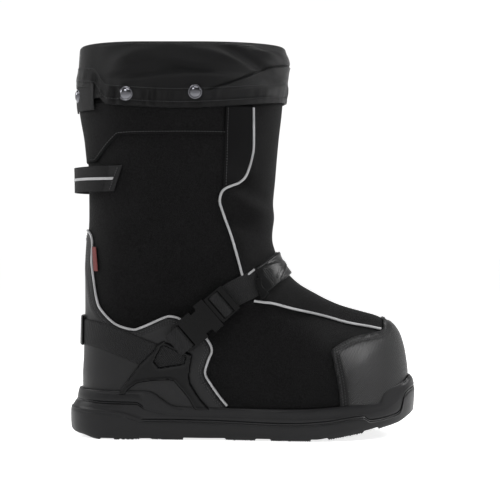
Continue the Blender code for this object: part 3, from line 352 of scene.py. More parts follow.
def nearest_on(route, x, z, closed=False):
    """Nearest places on a route, their distance, and their length along it."""
    route = np.vstack((route, route[:1])) if closed else np.asarray(route)
    steps = np.diff(route, axis=0)
    lengths = np.linalg.norm(steps, axis=1)
    start = np.concatenate(([0.0], np.cumsum(lengths)))[:-1]
    dx, dz = x[:, None] - route[:-1, 0], z[:, None] - route[:-1, 1]
    share = np.clip((dx * steps[:, 0] + dz * steps[:, 1]) / (lengths ** 2 + 1e-15), 0.0, 1.0)
    far = (dx - share * steps[:, 0]) ** 2 + (dz - share * steps[:, 1]) ** 2
    best = far.argmin(1)
    pick = np.arange(len(x))
    share = share[pick, best]
    return (route[best] + steps[best] * share[:, None], np.sqrt(far[pick, best]),
            start[best] + share * lengths[best])


def distance_to(column, x, z):
    """Distance in the side view from points to the back or the front edge."""
    heights = np.linspace(0.0, RIM_HEIGHT, 260)
    edge = np.column_stack((outline_edge(heights, column), heights))
    parts = np.array_split(np.arange(len(x)), max(len(x) // 20000, 1))
    return np.concatenate([nearest_on(edge, x[part], z[part])[1] for part in parts])


FEATHER = FEATHER_LINE[0][1] * CUP_HEIGHT * 0.001


def row_height(z, x):
    """Height of a row at places along the foot: low rows rise with the toe spring."""
    feather = sole_line(FEATHER_LINE, x)
    low = feather + (TOE_BOX_LEVEL - feather) * (z - FEATHER) / (TOE_BOX_LEVEL - FEATHER)
    return np.where(z >= TOE_BOX_LEVEL, z, low)


def row_at(x, z):
    """The row that runs at a height, at places along the foot."""
    feather = sole_line(FEATHER_LINE, x)
    low = FEATHER + (z - feather) * (TOE_BOX_LEVEL - FEATHER) / (TOE_BOX_LEVEL - feather)
    return np.where(z >= TOE_BOX_LEVEL, z, low)


def row_ends(z):
    """Back and front ends of rows, on the side outline at their own heights."""
    back, front = outline_edge(z, 1), outline_edge(z, 2)
    for _ in range(4):
        back, front = outline_edge(row_height(z, back), 1), outline_edge(row_height(z, front), 2)
    return back, front


# Slack of the padded fabric. Columns: along and height of the middle, length, width (mm), slant
# (degrees), depth (mm, a trough is negative), side (-1 outer, 1 inner, 0 both).
FOLDS = [
    (-4, 247, 40, 16, -38, -2.6, 0), (12, 226, 34, 13, -32, 2.2, 0), (-20, 262, 50, 12, -48, 1.2, -1),
    (4, 205, 40, 14, -22, -1.6, 0), (-85, 265, 50, 30, 70, 1.4, -1), (-115, 235, 45, 22, 55, -1.4, -1),
    (-60, 200, 60, 30, 20, -1.3, -1), (-100, 180, 50, 22, -30, 1.2, -1), (-40, 168, 50, 20, 35, -1.6, -1),
    (60, 140, 40, 14, -30, 1.2, 0), (35, 110, 60, 22, 60, -1.2, -1), (75, 85, 45, 25, 70, 1, -1),
    (-90, 220, 60, 22, 40, -1.6, 1), (-30, 180, 60, 20, -30, 1.6, 1), (-130, 200, 40, 20, 80, 1, 0),
    (20, 150, 30, 12, -55, -1, 0), (-70, 300, 80, 20, 5, -1, 0), (100, 115, 30, 16, -20, -0.8, 0)]


def soft_forms(table, side, x, z):
    """How far the soft forms of a table stand out at places in the side view."""
    out = np.zeros_like(x)
    for along, high, length, width, slant, depth, on in table:
        c, s = math.cos(slant * DEGREE), math.sin(slant * DEGREE)
        dx, dz = 1000.0 * x - along, 1000.0 * z - high
        a, b = (dx * c + dz * s) / length, (dz * c - dx * s) / width
        fits = ease(side * on, -0.15, 0.25) if on else 1.0
        out += 0.001 * depth * np.exp(-2.2 * (a * a + b * b)) * fits
    return out


def slack(x, side, z):
    """How far the fabric stands out of its plain form."""
    return 1.5 * soft_forms(FOLDS, side, x, z) * ease(z, 0.055, 0.09) * ease(z, 0.335, 0.31)


def skin(turn, z):
    """Points of the upper's surface. Turn 0 is the back, 90 the outer side, 180 the front."""
    turn, z = np.broadcast_arrays(np.asarray(turn, float), np.asarray(z, float))
    back, front = row_ends(z)
    x = 0.5 * (back + front) - 0.5 * (front - back) * np.cos(np.radians(turn))
    high = row_height(z, x)
    level = np.interp(high, MARKS, [0, 1, 2, 3])
    along = x / SOLE_LENGTH
    foot, shaft, back_round, front_round = (along_curve(FULLNESS, level, k) for k in range(1, 5))
    half = foot * (along_curve(FOOT_PLAN, along, 2) * SOLE_WIDTH - SOLE_LIP)
    half = half + (1.0 - foot) * shaft * SOLE_WIDTH
    half = half * rounding(distance_to(1, x, high), back_round * SOLE_LENGTH)
    half = half * rounding(distance_to(2, x, high), front_round * SOLE_LENGTH)
    sine = np.sin(np.radians(turn))
    side = np.where(np.abs(sine) < 1e-6, 0.0, -np.sign(sine) * half)
    return np.column_stack((x, foot * along_curve(FOOT_PLAN, along, 1) * SOLE_WIDTH + side, high))


def over_skin(turn, z, offset, loose=1.0):
    """Points at offsets outside the upper's surface, with the fabric's slack."""
    turn, z = np.broadcast_arrays(np.asarray(turn, float), np.asarray(z, float))
    base = skin(turn, z)
    across = skin(turn + 2.0, z) - skin(turn - 2.0, z)
    up = skin(turn, z + 0.001) - skin(turn, z - 0.001)
    normal = np.cross(across, up)
    normal /= np.linalg.norm(normal, axis=1)[:, None]
    lift = offset + loose * slack(base[:, 0], -np.sin(np.radians(turn)), base[:, 2])
    return base + normal * np.reshape(lift, (-1, 1))


def turn_at(x, row, side=-1.0):
    """Turn that reaches places along the foot on a row, side -1 outer or 1 inner."""
    back, front = row_ends(row)
    share = np.clip((0.5 * (back + front) - x) / (0.5 * (front - back)), -1.0, 1.0)
    turn = np.degrees(np.arccos(share))
    return np.where(np.asarray(side) < 0, turn, 360.0 - turn)


def seat_row(x_share, side, high):
    """Inside of the cup along one side, just outside the upper."""
    turn = np.where(side < 0, 180.0 * x_share, 360.0 - 180.0 * x_share)
    x = skin(turn, 0.03)[:, 0]
    row = FEATHER - 0.0003 if high < 0 else row_at(x, sole_line(TOP_LINE, x) - high)
    return over_skin(turn, np.minimum(row, TOE_BOX_LEVEL), 0.0004, 0.0)


def cup_inside(u, v):
    """From the top lip, in to the upper and down to the seat."""
    x_share, side = both_sides(u)
    lip = sole_side(u, np.ones_like(u))
    high, low = seat_row(x_share, side, 0.0), seat_row(x_share, side, -1.0)
    v = v[:, None]
    return np.where(v < 0.25, lip, np.where(v < 0.75, high, low))


def seat_floor(u, v):
    one, two = (seat_row(u, side, -1.0) for side in (-1.0, 1.0))
    return one + (two - one) * v[:, None]


sole = bmesh.new()
sheet_of(sole, 2 * STATIONS, len(SOLE_PROFILE) - 1, sole_side)
sheet_of(sole, STATIONS, 48, sole_floor)
sheet_of(sole, 2 * STATIONS, 2, cup_inside)
sheet_of(sole, STATIONS, 12, seat_floor)
bmesh.ops.remove_doubles(sole, verts=sole.verts, dist=2e-6)
bmesh.ops.recalc_face_normals(sole, faces=sole.faces)
piece("sole", sole, SOLE_RUBBER, angle=38.0, node="outsole")


# Upper: one padded boot of black woven nylon over insulation, lined, sewn up and cemented into
# the sole. Its wall is one sheet given its thickness inwards.
ARC_ROWS = np.array([0.017, 0.05, 0.075, 0.1, 0.13, 0.17, 0.25, 0.38])
ARC_TURNS = np.linspace(-60.0, 420.0, 241)
ARCS = np.array([np.concatenate(([0.0], np.cumsum(np.linalg.norm(np.diff(
    skin(ARC_TURNS, row), axis=0), axis=1)))) for row in ARC_ROWS])


def cloth_uv(turn, row):
    """Lengths along the cloth in metres: round the upper from its back, and up."""
    spots = np.array([np.interp(turn, ARC_TURNS, arc - np.interp(180.0, ARC_TURNS, arc)) for arc in ARCS])
    k = np.clip(np.searchsorted(ARC_ROWS, row) - 1, 0, len(ARC_ROWS) - 2)
    t = np.clip((row - ARC_ROWS[k]) / (ARC_ROWS[k + 1] - ARC_ROWS[k]), 0.0, 1.0)
    pick = np.arange(len(k))
    return spots[k, pick] * (1 - t) + spots[k + 1, pick] * t, row


def woven(name, colour, roughness, pitch=0.00085, speckle=0.9, **fixed):
    """Woven cloth: threads over and under, light flecks, and clouds of wear."""
    made = Finish(name, colour, roughness, **fixed)
    along, up, _ = made.axes(made.place("UV"))
    turns = 2 * math.pi / pitch
    weave = (along * turns).sine() * (up * turns).sine()
    clouds = made.noise(28.0, 4.0)
    flecks = made.noise(750.0, 3.0)
    made.shade((flecks - 0.42) * speckle + clouds * 0.55 + weave * 0.12, 0.35, 2.3)
    made.rough(clouds, 0.12)
    made.bump(weave * 0.5 + flecks * 1.2, 0.00028)
    return made


FABRIC = woven("boot_fabric", (0.0026, 0.0026, 0.0027), 0.66, speckle=2.6, gloss=0.065, slot="fabric")
LINING = woven("lining", (0.03, 0.03, 0.032), 0.92, 0.0014)


def upper_row(v):
    return FEATHER + (SHAFT_HEIGHT - FEATHER) * v


boot = bmesh.new()
sheet_of(boot, 272, 180, lambda u, v: over_skin(360.0 * u, upper_row(v), 0.0),
         lambda u, v: cloth_uv(360.0 * u, upper_row(v)))
upper = piece("upper", boot, FABRIC, angle=60.0, weld=2e-6)
upper.data.materials.append(LINING.material)
thicken(upper, 0.0025).material_offset = 1

# Insole: grey felt cut to the sole's floor and laid in loose.
FELT = woven("felt", (0.06, 0.06, 0.065), 0.96, 0.002)


def insole_place(u, v):
    one, two = (over_skin(turn, FEATHER + 0.001, -0.0033, 0.0) for turn in (180.0 * u, 360.0 - 180.0 * u))
    return one + (two - one) * v[:, None] + (0.0, 0.0, 0.003)


felt = bmesh.new()
sheet_of(felt, 90, 14, insole_place, lambda u, v: (u * 0.3, v * 0.1))
bed = piece("insole", felt, FELT)
bed.modifiers.new("Wall", 'SOLIDIFY').thickness = 0.0035


# Panels sewn or cemented on the upper. Each is cut to its pattern's outline, which lies in the
# side view, and is laid on the upper's surface. Its edge is a little lower than its middle.
def smooth_route(points, pieces=6):
    """Points on a smooth curve through given points."""
    points = np.array(points, float)
    last = len(points) - 1
    if not pieces:
        return points
    route = []
    for k in range(last):
        a, b, c, d = (points[min(max(i, 0), last)] for i in (k - 1, k, k + 1, k + 2))
        for t in np.arange(pieces) / pieces:
            route.append(0.5 * (2 * b + (c - a) * t + (2 * a - 5 * b + 4 * c - d) * t ** 2
                                + (3 * b - a - 3 * c + d) * t ** 3))
    return np.array(route + [points[-1]])


def side_places(points, pieces=6):
    """Turns thousandths of the length and of the levels into (x, z) in metres."""
    return smooth_route([(0.001 * along * SOLE_LENGTH, height(0.001 * level))
                         for along, level in points], pieces)


def offset_route(route, distance):
    """A side-view route moved to its left by a distance."""
    ahead = np.gradient(np.asarray(route, float), axis=0)
    ahead /= np.linalg.norm(ahead, axis=1)[:, None]
    return route + np.column_stack((-ahead[:, 1], ahead[:, 0])) * distance


def is_inside(outline, x, z):
    out = np.zeros(len(x), bool)
    for (ax, az), (bx, bz) in zip(outline, np.roll(outline, -1, axis=0)):
        if az != bz:
            out ^= ((az > z) != (bz > z)) & (x < ax + (bx - ax) * (z - az) / (bz - az))
    return out


def panel(name, outline, finish, lift, thick, turns=(0.0, 360.0), windows=(), cell=0.0014,
          route=None, drop=0.45, relief=None, loose=1.0):
    """Cuts a panel to its outline and lays it over the upper, with its wall."""
    outline = np.asarray(outline, float)
    low, high = max(outline[:, 1].min(), 0.022), min(outline[:, 1].max(), RIM_HEIGHT)
    low_row = max(low - 0.03, FEATHER) if low < TOE_BOX_LEVEL else low
    span = np.ptp(cloth_uv(np.array(turns), np.full(2, 0.5 * (low + high)))[0])
    columns, rows = int(span / cell) + 2, int((high - low_row) / cell) + 2
    data = bmesh.new()
    made = sheet_of(data, columns, rows, lambda u, v: np.column_stack((u, v, 0 * u)))
    turn = turns[0] + (turns[1] - turns[0]) * np.array([v.co.x for v in made])
    row = low_row + (high - low_row) * np.array([v.co.y for v in made])
    flat = skin(turn, row)
    number = {v: k for k, v in enumerate(made)}
    faces = list(data.faces)
    corners = np.array([[number[v] for v in f.verts] for f in faces])
    middle = flat[corners].mean(1)
    keep = is_inside(outline, middle[:, 0], middle[:, 2])
    for window in windows:
        keep &= ~is_inside(np.asarray(window), middle[:, 0], middle[:, 2])
    bmesh.ops.delete(data, geom=[f for f, k in zip(faces, keep) if not k], context='FACES')
    left = [v for v in made if v.is_valid]
    index = np.array([number[v] for v in left])
    turn, row, flat = turn[index], row[index], flat[index]
    edge = np.array([v.is_boundary for v in left])
    for loop in (outline, *windows):
        spots, far, _ = nearest_on(np.asarray(loop, float), flat[:, 0], flat[:, 2], True)
        near = np.flatnonzero(edge & (far < 1.6 * cell))
        if len(near):
            side = -np.sin(np.radians(turn[near]))
            x, z = spots[near, 0], spots[near, 1]
            new_row = row_at(x, z)
            new_turn = turn_at(x, new_row, side)
            new_turn = new_turn + 360.0 * np.round((turn[near] - new_turn) / 360.0)
            fine = np.abs(new_turn - turn[near]) < 12.0
            turn[near[fine]], row[near[fine]] = new_turn[fine], new_row[fine]
    flat = skin(turn, row)
    _, depth, _ = nearest_on(outline, flat[:, 0], flat[:, 2], True)
    rise = np.full(len(row), lift + thick)
    if relief:
        rise = rise + relief(flat[:, 0], flat[:, 2], depth)
    rise = rise - drop * thick * edge
    where = over_skin(turn, row, rise, loose)
    for v, co in zip(left, where.tolist()):
        v.co = co
    if route is None:
        along, up = cloth_uv(turn, row)
    else:
        on, far, along = nearest_on(route, flat[:, 0], flat[:, 2])
        up = far * np.where(flat[:, 2] > on[:, 1], 1.0, -1.0)
    layer = data.loops.layers.uv.verify()
    spots = dict(zip(left, zip(along.tolist(), up.tolist())))
    for face in data.faces:
        for loop in face.loops:
            loop[layer].uv = spots[loop.vert]
    thicken(piece(name, data, finish, 50.0, 1e-4), thick)


def twill(name, colour, roughness, pitch=0.0017, **fixed):
    """Rubber embossed with a fine diagonal rib, a little lighter in patches."""
    made = Finish(name, colour, roughness, **fixed)
    along, up, _ = made.axes(made.place("UV"))
    rib = ((along + up) * (2 * math.pi / pitch)).sine()
    cross = ((along - up) * (2 * math.pi / pitch / 1.9)).sine()
    clouds = made.noise(32.0, 4.0)
    made.shade(clouds * 0.8 + rib * 0.13 + cross * 0.05, 0.6, 1.7)
    made.rough(clouds, 0.16)
    made.bump(rib + cross * 0.4 + made.noise(1800.0, 2.0) * 0.4, 0.00022)
    return made


CAP_RUBBER = twill("cap_rubber", (0.005, 0.005, 0.0053), 0.36, gloss=0.21)
PANEL_RUBBER = moulded("panel_rubber", (0.0085, 0.0085, 0.0089), 0.46, 1500.0, 0.0002, gloss=0.16)
LABEL_RUBBER = moulded("label_rubber", (0.0038, 0.0038, 0.004), 0.42, 2200.0, 0.00005, gloss=0.05)
ANCHOR_RUBBER = moulded("anchor_rubber", (0.0036, 0.0036, 0.0038), 0.38, 2000.0, 0.00006, gloss=0.11)

# Toe cap: textured rubber moulded to the toe, with a raised bead around its edge.
TOE_CAP_EDGE = [
    (401.4, 735), (401.4, 715), (398.5, 672), (395, 650), (367.5, 634.6), (316, 617), (285.7, 591.5),
    (252.2, 552.5), (244.7, 536), (245.5, 518.3), (252.6, 448), (263.7, 329.5), (269.3, 211), (270, 190)]
toe_edge = side_places(TOE_CAP_EDGE, 4)


def toe_bead(x, z, depth):
    _, far, _ = nearest_on(toe_edge, x, z)
    return 0.0009 * bell(far, 0.0012, 0.0009) - 0.0009 * bell(far, 0.0042, 0.0022)


beyond = 0.56 * SOLE_LENGTH
panel("toe_cap", [(beyond, 0.13), (toe_edge[0][0], 0.13), *toe_edge, (toe_edge[-1][0], 0.01),
                  (beyond, 0.01)], CAP_RUBBER, 0.0003, 0.0016,
      (80.0, 280.0), relief=toe_bead)

# Counter: rubberised fabric around the heel, sewn down inside the piping by two rows.
COUNTER_EDGE = [
    (-446, 1246), (-433, 1220), (-427, 1172), (-429, 1061), (-423, 954), (-414, 838), (-401, 775),
    (-361, 693), (-314, 660), (-285, 673), (-227, 727), (-202, 738), (-170, 715), (-135, 665), (-102, 602),
    (-88, 538), (-98, 477), (-107, 400), (-91, 334), (-66, 258), (-45, 205)]
counter_edge = side_places(COUNTER_EDGE, 5)
counter_inside = offset_route(counter_edge, -0.0014)
panel("counter", [(-beyond, counter_inside[0][1]), *counter_inside, (counter_inside[-1][0], 0.01),
                  (-beyond, 0.01)], PANEL_RUBBER, 0.0003, 0.0011,
      (-125.0, 125.0), relief=lambda x, z, depth: 0.0004 * bell(depth, 0.0065, 0.0016))

# Yoke and label patch: the shaft's upper panel laps over the lower one, with a plain smooth
# strip of rubber sewn between it and the piping.
YOKE_EDGE = [
    (-458, 1642), (-440, 1644), (-415, 1646), (-397, 1688), (-378, 1735), (-357, 1777), (-334, 1793),
    (-174, 1797), (-53.5, 1795)]
yoke_edge = side_places(YOKE_EDGE, 4)
panel("yoke", [(-beyond, yoke_edge[0][1]), *yoke_edge, (yoke_edge[-1][0], 0.327), (-beyond, 0.327)],
      FABRIC, 0.0003, 0.0012, (-125.0, 125.0), drop=0.3)
SHAFT_SEAM = [
    (28, 1955), (28, 1740), (24, 1675), (18, 1624), (6, 1552), (-10, 1520), (-25, 1507), (-46, 1490),
    (-58, 1472), (-65, 1440), (-66, 1405), (-59, 1358), (-33, 1208), (-8, 1020), (-1, 965)]
shaft_seam = side_places(SHAFT_SEAM, 4)
strip_edge = [p for p in offset_route(shaft_seam, -0.0012) if p[1] > 0.2435]
panel("label_patch", [(-0.0485 * SOLE_LENGTH, 0.324), (-0.057 * SOLE_LENGTH, 0.2435), *strip_edge[::-1],
                      (strip_edge[0][0], 0.324)], LABEL_RUBBER,
      0.0003, 0.0012, (60.0, 150.0), cell=0.001)


CORD = 0.0012


def on_side(route, side, lift=0.9 * CORD):
    """Points over the upper along a side-view route."""
    x, z = np.asarray(route)[:, 0], np.asarray(route)[:, 1]
    row = row_at(x, z)
    return over_skin(turn_at(x, row, side), row, lift)


# Piping: light grey reflective cord sewn into the seams, dulled in places.
PIPING = Finish("piping", (0.26, 0.26, 0.265), 0.45)
PIPING.shade(PIPING.noise(60.0, 5.0), 0.45, 1.35)
PIPING.bump(PIPING.noise(1600.0, 2.0), 0.0002)


def cord_along(name, points):
    """A round piping cord along points, closed at both ends."""
    points = np.asarray(points, float)
    data = bmesh.new()
    ahead = np.gradient(points, axis=0)
    loops = []
    for centre, way in zip(points, ahead):
        turned = Vector(way).to_track_quat('Z', 'Y').to_matrix().to_4x4()
        turned.translation = Vector(centre)
        ends = len(loops) in (0, len(points) - 1)
        loops.append(bmesh.ops.create_circle(
            data, segments=10, radius=CORD, matrix=turned, cap_ends=ends)["verts"])
    for low, high in zip(loops, loops[1:]):
        edges = {e for v in (*low, *high) for e in v.link_edges
                 if e.other_vert(v) in (low if v in low else high)}
        edges = [e for e in edges if (e.verts[0] in low) == (e.verts[1] in low)]
        bmesh.ops.bridge_loops(data, edges=edges)
    bmesh.ops.recalc_face_normals(data, faces=data.faces)
    piece(name, data, PIPING)


first_turn = 0.9 * float(turn_at(counter_edge[:1, 0], counter_edge[:1, 1])[0])
around = np.linspace(first_turn, -first_turn, 14)
down = counter_edge[counter_edge[:, 1] > sole_line(TOP_LINE, counter_edge[:, 0]) - 0.001]
cord_along("counter_piping", np.vstack((
    on_side(down[::-1], -1), over_skin(around, down[0][1], 0.9 * CORD), on_side(down, 1))))
VAMP_SEAM = [
    (30, 830), (58, 822), (84, 816), (126, 793), (209, 745), (293, 700), (355, 672), (390, 654)]
vamp_seam = side_places(VAMP_SEAM, 5)
for side, word in SIDES:
    cord_along(f"shaft_piping_{word}", on_side(shaft_seam, side))
    cord_along(f"vamp_piping_{word}", on_side(vamp_seam, side))


# Strap anchors: moulded rubber ladders on both sides of the heel, with webbing in the window.
def ribbed(name, kind, colour=(0.0064, 0.0064, 0.0067)):
    """Polyester webbing: ribs across it, finer threads along it, and a little fuzz."""
    made = Finish(name, colour, 0.74, gloss=0.17)
    along, up, _ = made.axes(made.place(kind))
    ribs = (along * (2 * math.pi / 0.0017) + (up * (2 * math.pi / 0.004)).sine() * 0.8).sine()
    threads = (up * (2 * math.pi / 0.0011)).sine()
    fuzz = made.noise(1300.0, 3.0)
    made.shade(fuzz * 1.1 + ribs * 0.1 + threads * 0.08 - 0.2, 0.4, 2.6)
    made.bump(ribs * 0.6 + threads * 0.35 + fuzz * 0.8, 0.0003)
    return made


WEBBING, WEBBING_SOLID = ribbed("webbing", "UV"), ribbed("webbing_wrap", "Object")
ANCHOR_EDGE = [
    (-352, 270), (-342, 307), (-292, 452), (-260, 520), (-249, 544), (-247.5, 560), (-238, 575),
    (-224, 590), (-186, 555), (-142, 509), (-146.5, 455), (-151, 384), (-148, 340), (-133, 289),
    (-119, 244), (-92, 180), (-135, 180), (-156, 256), (-174, 302), (-195, 351), (-210, 357), (-263, 351),
    (-299, 338), (-324, 300), (-332, 270)]
ANCHOR_WINDOW = [
    (-250, 468), (-243, 505), (-228.5, 560), (-219, 562), (-160, 500), (-166, 456), (-236, 432)]
anchor_edge, anchor_window = side_places(ANCHOR_EDGE, 0), side_places(ANCHOR_WINDOW, 0)


def anchor_form(x, z, depth):
    """A raised border, and the dark moulded step under the window."""
    _, far, _ = nearest_on(anchor_window, x, z, True)
    return 0.0005 * bell(depth, 0.0015, 0.001) + 0.0006 * bell(far, 0.0015, 0.001)


for side, word in SIDES:
    reach = (20.0, 150.0) if side < 0 else (210.0, 340.0)
    panel(f"strap_anchor_{word}", anchor_edge, ANCHOR_RUBBER,
          0.0017, 0.0022, reach, [anchor_window], cell=0.001, relief=anchor_form)
    window_route = np.array([(-0.0905, 0.064), (-0.06, 0.0885)])
    panel(f"window_webbing_{word}", offset_route(np.vstack((anchor_window, anchor_window[:1])), 0.001),
          WEBBING, 0.0017, 0.001, reach, cell=0.001,
          route=window_route)

# Heel strap: webbing round the back of the heel under a moulded keeper.
HEEL_STRAP_ROUTE = [
    (-520, 645), (-472, 642), (-403, 623), (-345, 580), (-290, 531), (-246, 494)]
heel_route = side_places(HEEL_STRAP_ROUTE, 5)


def band(route, half):
    """Closed outline of a band along a side-view route."""
    return np.vstack((offset_route(route, half), offset_route(route, -half)[::-1]))


panel("heel_strap", band(heel_route, 0.0125), WEBBING, 0.0018, 0.0013,
      (-100.0, 100.0), route=heel_route)
panel("heel_keeper", [(-beyond, height(0.555)), (-0.448 * SOLE_LENGTH, height(0.555)),
                      (-0.448 * SOLE_LENGTH, height(0.735)), (-beyond, height(0.735))],
      ANCHOR_RUBBER, 0.0036, 0.0016, (-40.0, 40.0), cell=0.001)

# Ankle strap: webbing from the buckle over the instep, under a moulded pad, to the inner anchor.
STRAP_ROUTE = [
    (-211, 527), (-175, 600), (-105, 728), (-38, 857), (13, 915), (53, 959), (81, 1003), (116, 1060),
    (160, 1140)]
strap_route = side_places(STRAP_ROUTE, 5)
in_front = strap_route[strap_route[:, 0] > -0.019]


def over_piping(x, z, depth):
    return 0.0022 * ease(x, 0.01, -0.016)


panel("ankle_strap", band(in_front, 0.0125), WEBBING, 0.0004, 0.0014,
      (60.0, 186.0), route=strap_route, relief=over_piping, cell=0.001)
inner_route = strap_route[strap_route[:, 0] > -0.062]
panel("ankle_strap_inner", band(inner_route, 0.0125), WEBBING, 0.0004, 0.0014,
      (186.0, 330.0), route=strap_route, relief=over_piping)
PAD_EDGE = [
    (33, 1021), (77, 1089), (160, 1220), (200, 1100), (150, 1010), (77, 896), (53, 859)]
MOUTH = smooth_route([(0.0205, 0.169), (0.031, 0.1712), (0.0365, 0.1706), (0.039, 0.1675),
                      (0.038, 0.162), (0.035, 0.153)], 5)
pad_edge = side_places(PAD_EDGE, 0)


def pad_form(x, z, depth):
    """The raised mouth that the strap runs into, a second ridge, and the edge's bead."""
    out = 0.0008 * bell(nearest_on(MOUTH, x, z)[1], 0.0, 0.0008)
    out += 0.0004 * bell(nearest_on(np.array([(0.0345, 0.166), (0.0312, 0.156)]), x, z)[1], 0.0, 0.0007)
    _, far, _ = nearest_on(pad_edge[:3], x, z)
    return out + 0.0004 * bell(far, 0.0022, 0.0007)


panel("instep_pad", pad_edge, ANCHOR_RUBBER, 0.0024, 0.0016,
      (90.0, 270.0), relief=pad_form, cell=0.0008, loose=0.0)
panel("strap_tail", [(0.0165, 0.1655), (0.0255, 0.164), (0.029, 0.147), (0.022, 0.1425)],
      WEBBING, 0.0042, 0.0008, (90.0, 180.0), route=strap_route, cell=0.0008)
tip = smooth_route([(0.0105, 0.1548), (0.0165, 0.156), (0.0172, 0.15), (0.02, 0.145),
                    (0.024, 0.1405), (0.0172, 0.135), (0.015, 0.141), (0.0125, 0.1475),
                    (0.0105, 0.1548)], 3)[:-1]
panel("strap_tip", tip, LABEL_RUBBER, 0.0034, 0.002, (90.0, 180.0), cell=0.0006)
# Strap end: a painted highlight, a small tab in the piping's light grey where the glossy loop's top edge
# above the strap catches the light.
panel("strap_end", [(0.0035, 0.1605), (0.01, 0.166), (0.0112, 0.164), (0.0048, 0.159)],
      PIPING, 0.0012, 0.0012, (90.0, 180.0), cell=0.0005)

# Side tag: a small plain woven tab caught in the counter's seam.
TAG = Finish("tag", (0.09, 0.014, 0.013), 0.85, slot="tag_woven")
TAG.shade(TAG.noise(900.0, 2.0), 0.5, 1.5)
panel("side_tag", [(-0.422 * SOLE_LENGTH, height(1.008)), (-0.409 * SOLE_LENGTH, height(1.008)),
                   (-0.4135 * SOLE_LENGTH, height(1.149)), (-0.4265 * SOLE_LENGTH, height(1.149))],
      TAG, 0.001, 0.0008, (5.0, 60.0), cell=0.0006)

# Buckle: satin black moulded plastic, two halves clipped together. The wraps of webbing go
# round their bars.
PLASTIC = moulded("buckle_plastic", (0.0012, 0.0012, 0.0013), 0.26, 1800.0, 0.00004, gloss=0.11)
for node, finish in (("buckle_receiver", PLASTIC), ("buckle_ladder", PLASTIC),
                     ("anchor_webbing", WEBBING_SOLID), ("ladder_webbing", WEBBING_SOLID)):
    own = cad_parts[node]
    own.data.materials.clear()
    own.data.materials.append(finish.material)

# Cuff: thin coated nylon sewn inside the shaft's top and folded outwards over it. Its hem is a
# double band with two stitch lines, which the thread draws into small puckers.
CUFF_HEM, CUFF_HEM_RISE, CUFF_WALL = 0.321, 0.009, 0.0009
NYLON = woven("cuff_nylon", (0.0034, 0.0034, 0.0036), 0.34, 0.0009, 0.5, gloss=0.1, slot="nylon")


def hem_height(turn):
    turn = np.asarray(turn, float)
    behind = np.abs((turn + 180.0) % 360.0 - 180.0)
    return CUFF_HEM + CUFF_HEM_RISE * np.cos(np.radians(turn)) ** 2 + 0.015 * ease(behind, 47.0, 34.0)


# Large soft forms of the cuff, as in FOLDS.
CUFF_FOLDS = [
    (30, 374, 45, 11, -25, 2.2, 0), (12, 364, 55, 7, -28, -1.6, 0), (-20, 373, 60, 8, -14, 1.2, 0),
    (-55, 352, 60, 9, 4, 1.4, 0), (-50, 360, 70, 6, -6, -1, 0), (-135, 362, 30, 12, 35, -1.4, 0),
    (-150, 352, 25, 12, 40, 1.6, 0), (-110, 372, 40, 10, 20, 1.2, 0), (-100, 354, 40, 6, 8, -1, 0),
    (30, 345, 30, 10, 25, 1, 0)]
FLAP = np.array([(0.046, 0.369), (0.02, 0.36), (-0.005, 0.3485), (-0.032, 0.339)])


def cuff_relief(turn, base, z):
    """How far the cuff stands out: its soft forms, flap edge, band and puckers."""
    side = -np.sin(np.radians(turn))
    x = base[:, 0]
    out = 1.6 * soft_forms(CUFF_FOLDS, side, x, z)
    on, far, _ = nearest_on(FLAP, x, z)
    below = (z < on[:, 1]) & (x > -0.034)
    flap = 0.001 * below * ease(far, 0.0, 0.0008) * ease(far, 0.03, 0.006)
    crease = -0.0011 * bell(far, 0.0, 0.0008)
    out += (flap + crease) * (side < 0.0)
    rise = z - hem_height(turn)
    seams = sum(bell(rise, line, 0.0012) for line in (0.0058, 0.0183))
    arc = cloth_uv(turn, np.full_like(turn, 0.3))[0]
    wobble = np.sin(arc * 410 + 2.0 * np.sin(arc * 77)) + 0.7 * np.sin(arc * 690 + 1.7 * np.sin(arc * 51 + 1))
    patchy = 0.55 + 0.45 * np.sin(arc * 31 + 0.8 * np.sin(arc * 90))
    out += 0.001 * wobble * patchy * bell(rise, 0.009, 0.0085) - 0.0005 * seams
    out += 0.0006 * ease(rise, 0.0205, 0.0188) + 0.0007 * bell(arc, 0.0, 0.0016)
    return out * ease(z, 0.384, 0.376)


def cuff_place(u, v):
    """From the hem up the outside, over the fold and down the inside."""
    turn = 360.0 * u
    hem = hem_height(turn)
    top = RIM_HEIGHT - 0.0042
    shell, inside = 0.0026, -0.004
    bend = math.pi * np.clip((v - 0.62) / 0.12, 0.0, 1.0)
    middle, half = 0.5 * (shell + inside), 0.5 * (shell - inside)
    z = np.where(v < 0.62, hem + (top - hem) * v / 0.62, top + 0.004 * np.sin(bend))
    z = np.where(v > 0.74, top - (top - 0.318) * (v - 0.74) / 0.26, z)
    offset = np.where(v < 0.62, shell, np.where(v < 0.74, middle + half * np.cos(bend), inside))
    base = skin(turn, z)
    relief = np.where(v < 0.66, cuff_relief(turn, base, z), 0.0)
    return over_skin(turn, z, offset + relief, 0.0)


collar = bmesh.new()
sheet_of(collar, 410, 115, cuff_place, lambda u, v: (cloth_uv(360.0 * u, np.full_like(u, 0.34))[0], v * 0.1))
cuff = piece("cuff", collar, NYLON, angle=70.0, weld=2e-6)
thicken(cuff, CUFF_WALL)

# Tab behind the cuff: a short webbing strap under the hem's rear end, closed by a snap.
tab = bmesh.new()


def tab_place(u, v):
    turn = -2.0 + 38.0 * u
    z = CUFF_HEM - 0.0005 + 0.025 * v
    return over_skin(turn, z, 0.0026 + 0.001 + 0.0004 * np.sin(math.pi * v), 0.0)


sheet_of(tab, 60, 30, tab_place, lambda u, v: (u * 0.05, v * 0.025))
thicken(piece("cuff_tab", tab, WEBBING, weld=0), 0.0011)

